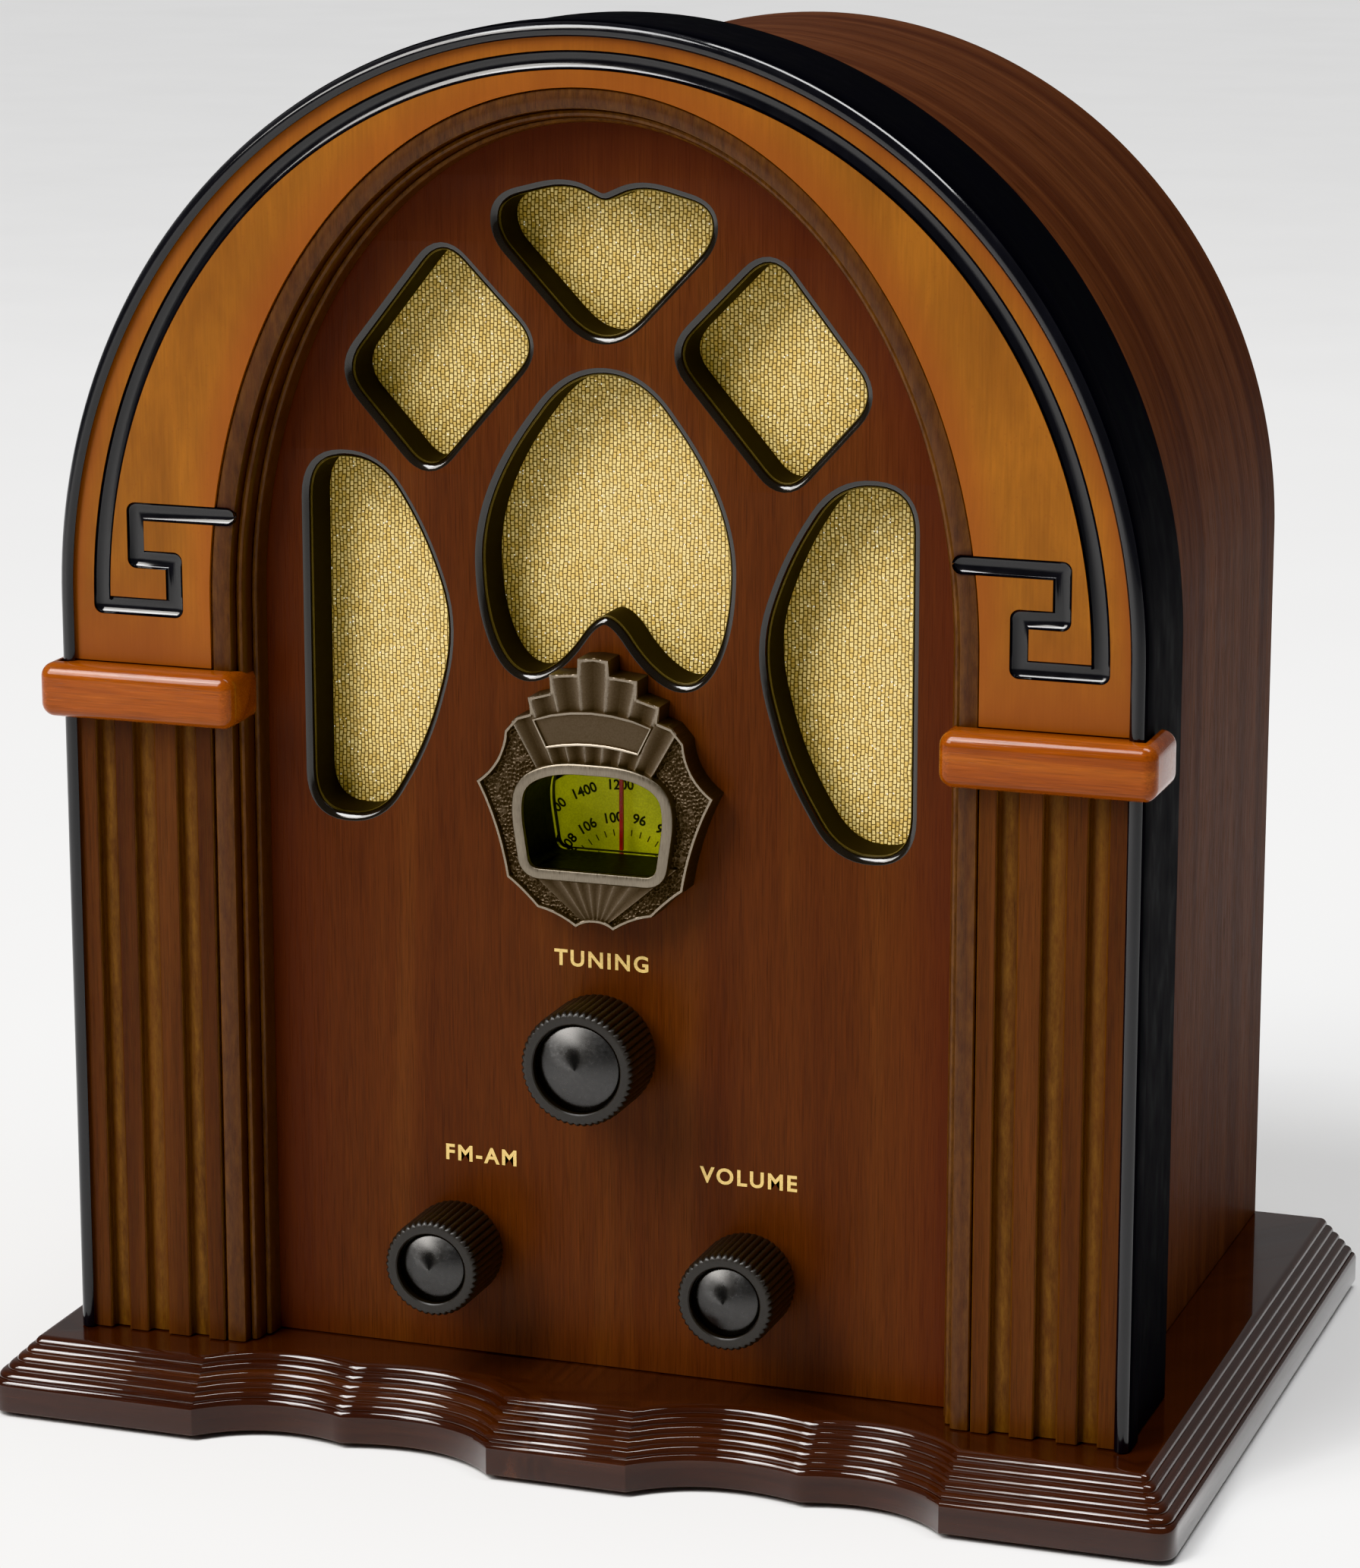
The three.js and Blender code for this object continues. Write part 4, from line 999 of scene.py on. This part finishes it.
def nameplate():
    """A blank plate with a raised border, on the badge's crest."""
    levels = [(0.0, 7.0), (0.0, 4.05), (-0.1, 3.85), (-0.4, 3.8), (-0.55, 3.9), (-0.65, 4.35), (-0.8, 4.35)]
    points, wear = [], []
    for out, y in levels:
        points += [(x, y, z) for x, z in offset(NAMEPLATE, out)]
        wear += [0.75 if 3.75 < y < 3.95 else 0.3] * len(NAMEPLATE)
    faces = tube(len(levels), len(NAMEPLATE))
    piece("blank_nameplate", points, faces, [LOOKS["pewter"]], wear=wear, sharp=40)


def escutcheon():
    corners = [math.atan2(x - BADGE_CENTRE[0], z - BADGE_CENTRE[1]) for x, z in ESCUTCHEON]
    angles = np.concatenate([np.linspace(-math.pi, math.pi, 960, endpoint=False), corners])
    angles = np.unique(np.round(angles, 4))
    columns, rows = len(angles), 88
    inner = ray_lengths(window_outline(1.6), BADGE_CENTRE, angles)
    outer = ray_lengths(ESCUTCHEON, BADGE_CENTRE, angles)
    directions = np.stack([np.sin(angles), np.cos(angles)], axis=1)
    shares = np.concatenate([np.linspace(0, 0.93, rows - 14), np.linspace(0.937, 1.0, 14)])
    flat = np.concatenate([directions * (inner + (outer - inner) * share)[:, None] for share in shares])
    flat = flat + np.array(BADGE_CENTRE)
    height, wear = badge_relief(flat)
    points = [(x, BADGE_FIELD - h, z) for (x, z), h in zip(flat, height)]
    wear = list(wear)
    for reach in (outer, inner):
        edge = directions * reach[:, None] + np.array(BADGE_CENTRE)
        points += [(x, FACE_DEPTH, z) for x, z in edge]
        wear += [0.1] * columns
    faces = loop(rows + 2, columns)
    piece("pewter_badge", points, faces, [LOOKS["pewter"]], ["escutcheon"], wear=wear, sharp=30)
    nameplate()

    front = 3.5
    profile = [(0.0, 8.0), (0.0, front + 0.35), (0.12, front + 0.1), (0.35, front), (2.0, front),
               (2.25, front + 0.12), (2.4, front + 0.4), (2.4, 8.0)]
    shape = resampled(window_outline(0.0), 1.0)
    points, faces = outline_sweep(shape, profile)
    piece("window_surround", points, faces, [LOOKS["frame"]], sharp=40)
    back = PANEL_BACK - 0.2
    profile = [(-0.12, 4.5), (-0.02, 4.5), (-0.02, 8.9), (1.2, 9.0), (1.2, back), (-0.12, back)]
    points, faces = outline_sweep(shape, profile)
    piece("dial_tube", points, faces, [LOOKS["tunnel"]], ["dial_tunnel"], sharp=40)
    low, high = [(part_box("dial_window")[k][1] - FACE_Y) / MM for k in (0, 1)]
    points, faces = prism(resampled(window_outline(-0.3), 1.0), low, high, lambda u, v, w: (u, w, v))
    piece("dial_glass", points, faces, [LOOKS["clear"]], ["dial_window"], sharp=40)


# ---- Dial ----


def lettering(name, text, size, look, to_point, body="cabinet", weight=0.02, spacing=1.0):
    """Flat letters, centred on their own origin, placed by to_point(u, v) with u, v in millimetres."""
    font = bpy.data.curves.new(name, "FONT")
    font.body = text
    font.size = size
    font.offset = weight * size
    font.space_character = spacing
    font.align_x = "CENTER"
    font.resolution_u = 4
    holder = bpy.data.objects.new(name + "_curve", font)
    bpy.context.collection.objects.link(holder)
    flat = bpy.data.meshes.new_from_object(holder.evaluated_get(bpy.context.evaluated_depsgraph_get()))
    bpy.data.objects.remove(holder)
    points = [(v.co.x, v.co.y) for v in flat.vertices]
    low, high = min(p[1] for p in points), max(p[1] for p in points)
    faces = [tuple(p.vertices) for p in flat.polygons]
    placed = [to_point(u, v - (low + high) / 2) for u, v in points]
    bpy.data.meshes.remove(flat)
    piece(name, placed, faces, [look], body=body)


def dial_text(name, text, radius, degrees, size):
    """A number on the dial, upright at the top of the scale, turned to its place round the dial's axis."""
    angle = math.radians(degrees)
    sine, cosine = math.sin(angle), math.cos(angle)

    def to_point(u, v):
        reach = radius + v
        return (u * cosine + reach * sine, DIAL_PRINT, DIAL_Z - u * sine + reach * cosine)

    lettering(name, text, size, LOOKS["ink"], to_point, body="dial", weight=0.028)


def dial():
    profile = [(0.05, DIAL_FRONT), (27.3, DIAL_FRONT), (27.5, 24.8), (27.5, 25.5), (0.05, 25.6)]
    points, faces = turned(profile, 0.0, DIAL_Z, 120)
    piece("dial_scale", points, faces, [LOOKS["dial"]], ["dial_disc"], body="dial")
    upper = {"540": 108, "600": 88, "700": 70, "800": 51, "1000": 24, "1200": -3, "1400": -24, "1600": -44}
    lower = {"88": 52, "92": 31, "96": 11, "100": -10.5, "106": -33, "108": -54}
    for text, degrees in upper.items():
        dial_text("kilohertz_" + text, text, 22.9, degrees, 3.0)
    for text, degrees in lower.items():
        dial_text("megahertz_" + text, text, 15.9, degrees, 3.0)
    marks, faces = [], []
    for k in range(-12, 12):
        angle = math.radians((k + 0.66) * 8.9)
        start = len(marks)
        for reach, half in ((12.0, 0.13), (12.0, -0.13), (13.4, -0.13), (13.4, 0.13)):
            x = half * math.cos(angle) + reach * math.sin(angle)
            z = -half * math.sin(angle) + reach * math.cos(angle)
            marks.append((x, DIAL_PRINT, DIAL_Z + z))
        faces.append((start, start + 1, start + 2, start + 3))
    piece("scale_marks", marks, faces, [LOOKS["ink"]], body="dial")


# ---- Knobs ----


def knobs():
    for name, k in KNOBS.items():
        x, z, r, front, insert = k["x"], k["z"], k["r"], k["front"], k["insert"]
        columns = k["flutes"] * 8
        rim, bore = insert + 0.35, 3.2
        rows = [(bore, KNOB_BACK, 0.0), (r - 1.2, KNOB_BACK, 0.0), (r - 0.2, KNOB_BACK - 0.3, 0.3),
                (r, KNOB_BACK - 0.9, 1.0)]
        rows += [(r, front + t, 1.0) for t in (8.0, 4.0, 1.4)]
        rows += [(r - 0.12, front + 0.75, 0.9), (r - 0.45, front + 0.28, 0.55), (r - 0.9, front + 0.05, 0.1),
                 (r - 1.4, front, 0.0), (rim + 0.25, front, 0.0), (rim, front + 0.25, 0.0),
                 (rim, front + 2.2, 0.0), (bore, front + 2.3, 0.0), (bore, front + 3.6, 0.0)]
        points = []
        for radius, y, depth in rows:
            for c in range(columns):
                angle = 2 * math.pi * c / columns
                ridge = 1 - abs(math.cos(k["flutes"] * angle / 2)) ** 0.8
                reach = radius - 0.62 * depth * ridge
                points.append((x + reach * math.sin(angle), y, z + reach * math.cos(angle)))
        piece(name + "_knob_fluted", points, loop(len(rows), columns), [LOOKS["knob"]],
              [name + "_knob"], body=name, sharp=35)
        profile = [(0.02, front - 0.9), (0.3, front - 0.84), (insert - 0.2, front + 0.95),
                   (insert, front + 1.15), (insert, front + 2.25), (0.02, front + 2.25)]
        points, faces = turned(profile, x, z, 128)
        piece(name + "_knob_cone", points, faces, [LOOKS["insert"]], [name + "_knob_insert"],
              body=name, sharp=35)


def labels():
    y = PANEL_FRONT - 0.04
    for text, x, z in (("TUNING", -0.9, 105.3), ("FM-AM", -28.3, 60.1), ("VOLUME", 31.5, 61.1)):
        def to_point(u, v, x=x, z=z):
            return (x + u, y, z + v)
        name = "label_" + text.lower().replace("-", "_")
        lettering(name, text, 4.75, LOOKS["gilt"], to_point, weight=0.027, spacing=1.22)


# ---- What stays from the frame ----

KEPT = {
    "rubber": ["foot_front_left", "foot_front_right", "foot_rear_left", "foot_rear_right",
               "speaker_surround"],
    "fibreboard": ["baffle_board", "rear_panel", "rear_cleat_left", "rear_cleat_right", "board_stand"],
    "steel": ["speaker_basket", "tuning_shaft", "mode_shaft", "volume_shaft", "volume_control",
              "chassis_bracket", "tuning_capacitor"],
    "brass": ["dial_gear", "tuning_pinion", "tuning_bushing", "rear_screw_1", "rear_screw_2", "rear_screw_3",
              "rear_screw_4"],
    "knob": ["mode_switch", "lamp_holder", "rod_saddle", "power_inlet", "aux_jack", "antenna_terminal"],
    "insert": ["filter_capacitor"],
    "ferrite": ["speaker_magnet", "ferrite_rod"],
    "copper": ["ferrite_coil"],
    "board": ["main_board", "receiver_module"],
    "paper_cone": ["speaker_cone"],
    "clear": ["dial_lamp"],
    "pointer": ["dial_pointer"],
}


def dress_frame():
    for look, nodes in KEPT.items():
        for node in nodes:
            for slot in bpy.data.objects[node].material_slots:
                slot.material = LOOKS[look]


# ---- Stage, light and camera ----

CAMERA_PLACE = (339.1, -915.9, 379.8)
CAMERA_YAW, CAMERA_PITCH = 19.18, 13.47
CAMERA_LENS = 130.3


def studio():
    floor_mesh = bpy.data.meshes.new("floor")
    reach = 6.0
    corners = [(x * reach, y * reach, 0) for x, y in ((-1, -1), (1, -1), (1, 1), (-1, 1))]
    floor_mesh.from_pydata(corners, [], [(0, 1, 2, 3)])
    floor = bpy.data.objects.new("floor", floor_mesh)
    bpy.context.collection.objects.link(floor)
    pale = Look("pale_floor", Roughness=0.75)
    speck = pale.noise(0.01, 3.0, 0.5)
    pale.join("Base Color", pale.ramp(speck, (0.2, (0.80, 0.80, 0.80)), (0.8, (0.83, 0.83, 0.83))))
    floor_mesh.materials.append(pale.material)

    sky = bpy.data.worlds.new("studio")
    sky.use_nodes = True
    background = sky.node_tree.nodes["Background"]
    background.inputs["Color"].default_value = (1.0, 1.0, 1.0, 1.0)
    background.inputs["Strength"].default_value = 0.32
    bpy.context.scene.world = sky

    def softbox(name, place, aim, size, power, tint=(1, 1, 1)):
        light = bpy.data.lights.new(name, "AREA")
        light.shape = "RECTANGLE"
        light.size, light.size_y = size
        light.energy = power
        light.color = tint
        obj = bpy.data.objects.new(name, light)
        obj.location = place
        obj.rotation_euler = (Vector(aim) - Vector(place)).to_track_quat("-Z", "Y").to_euler()
        bpy.context.collection.objects.link(obj)

    softbox("key", (-0.95, -1.25, 1.15), (0, 0, 0.16), (0.9, 0.9), 24, (1.0, 0.97, 0.93))
    softbox("top", (0.35, 0.0, 1.3), (0.02, 0, 0.2), (0.35, 0.8), 10)
    sun = bpy.data.lights.new("overhead", "SUN")
    sun.energy = 2.3
    sun.angle = math.radians(28)
    lamp = bpy.data.objects.new("overhead", sun)
    lamp.rotation_euler = Vector((0.42, 0.62, -1.0)).to_track_quat("-Z", "Y").to_euler()
    bpy.context.collection.objects.link(lamp)

    bpy.context.scene.view_settings.view_transform = "Khronos PBR Neutral"
    lens = bpy.data.cameras.new("view")
    lens.sensor_fit = "HORIZONTAL"
    lens.sensor_width = 36.0
    lens.lens = CAMERA_LENS
    camera = bpy.data.objects.new("view", lens)
    camera.location = world(CAMERA_PLACE)
    camera.rotation_euler = (math.radians(90 - CAMERA_PITCH), 0.0, math.radians(CAMERA_YAW))
    bpy.context.collection.objects.link(camera)
    bpy.context.scene.camera = camera


studio()
base_plinth()
cabinet()
arch_front()
pilasters()
capitals()
grille_panel()
cloth()
escutcheon()
dial()
knobs()
labels()
dress_frame()
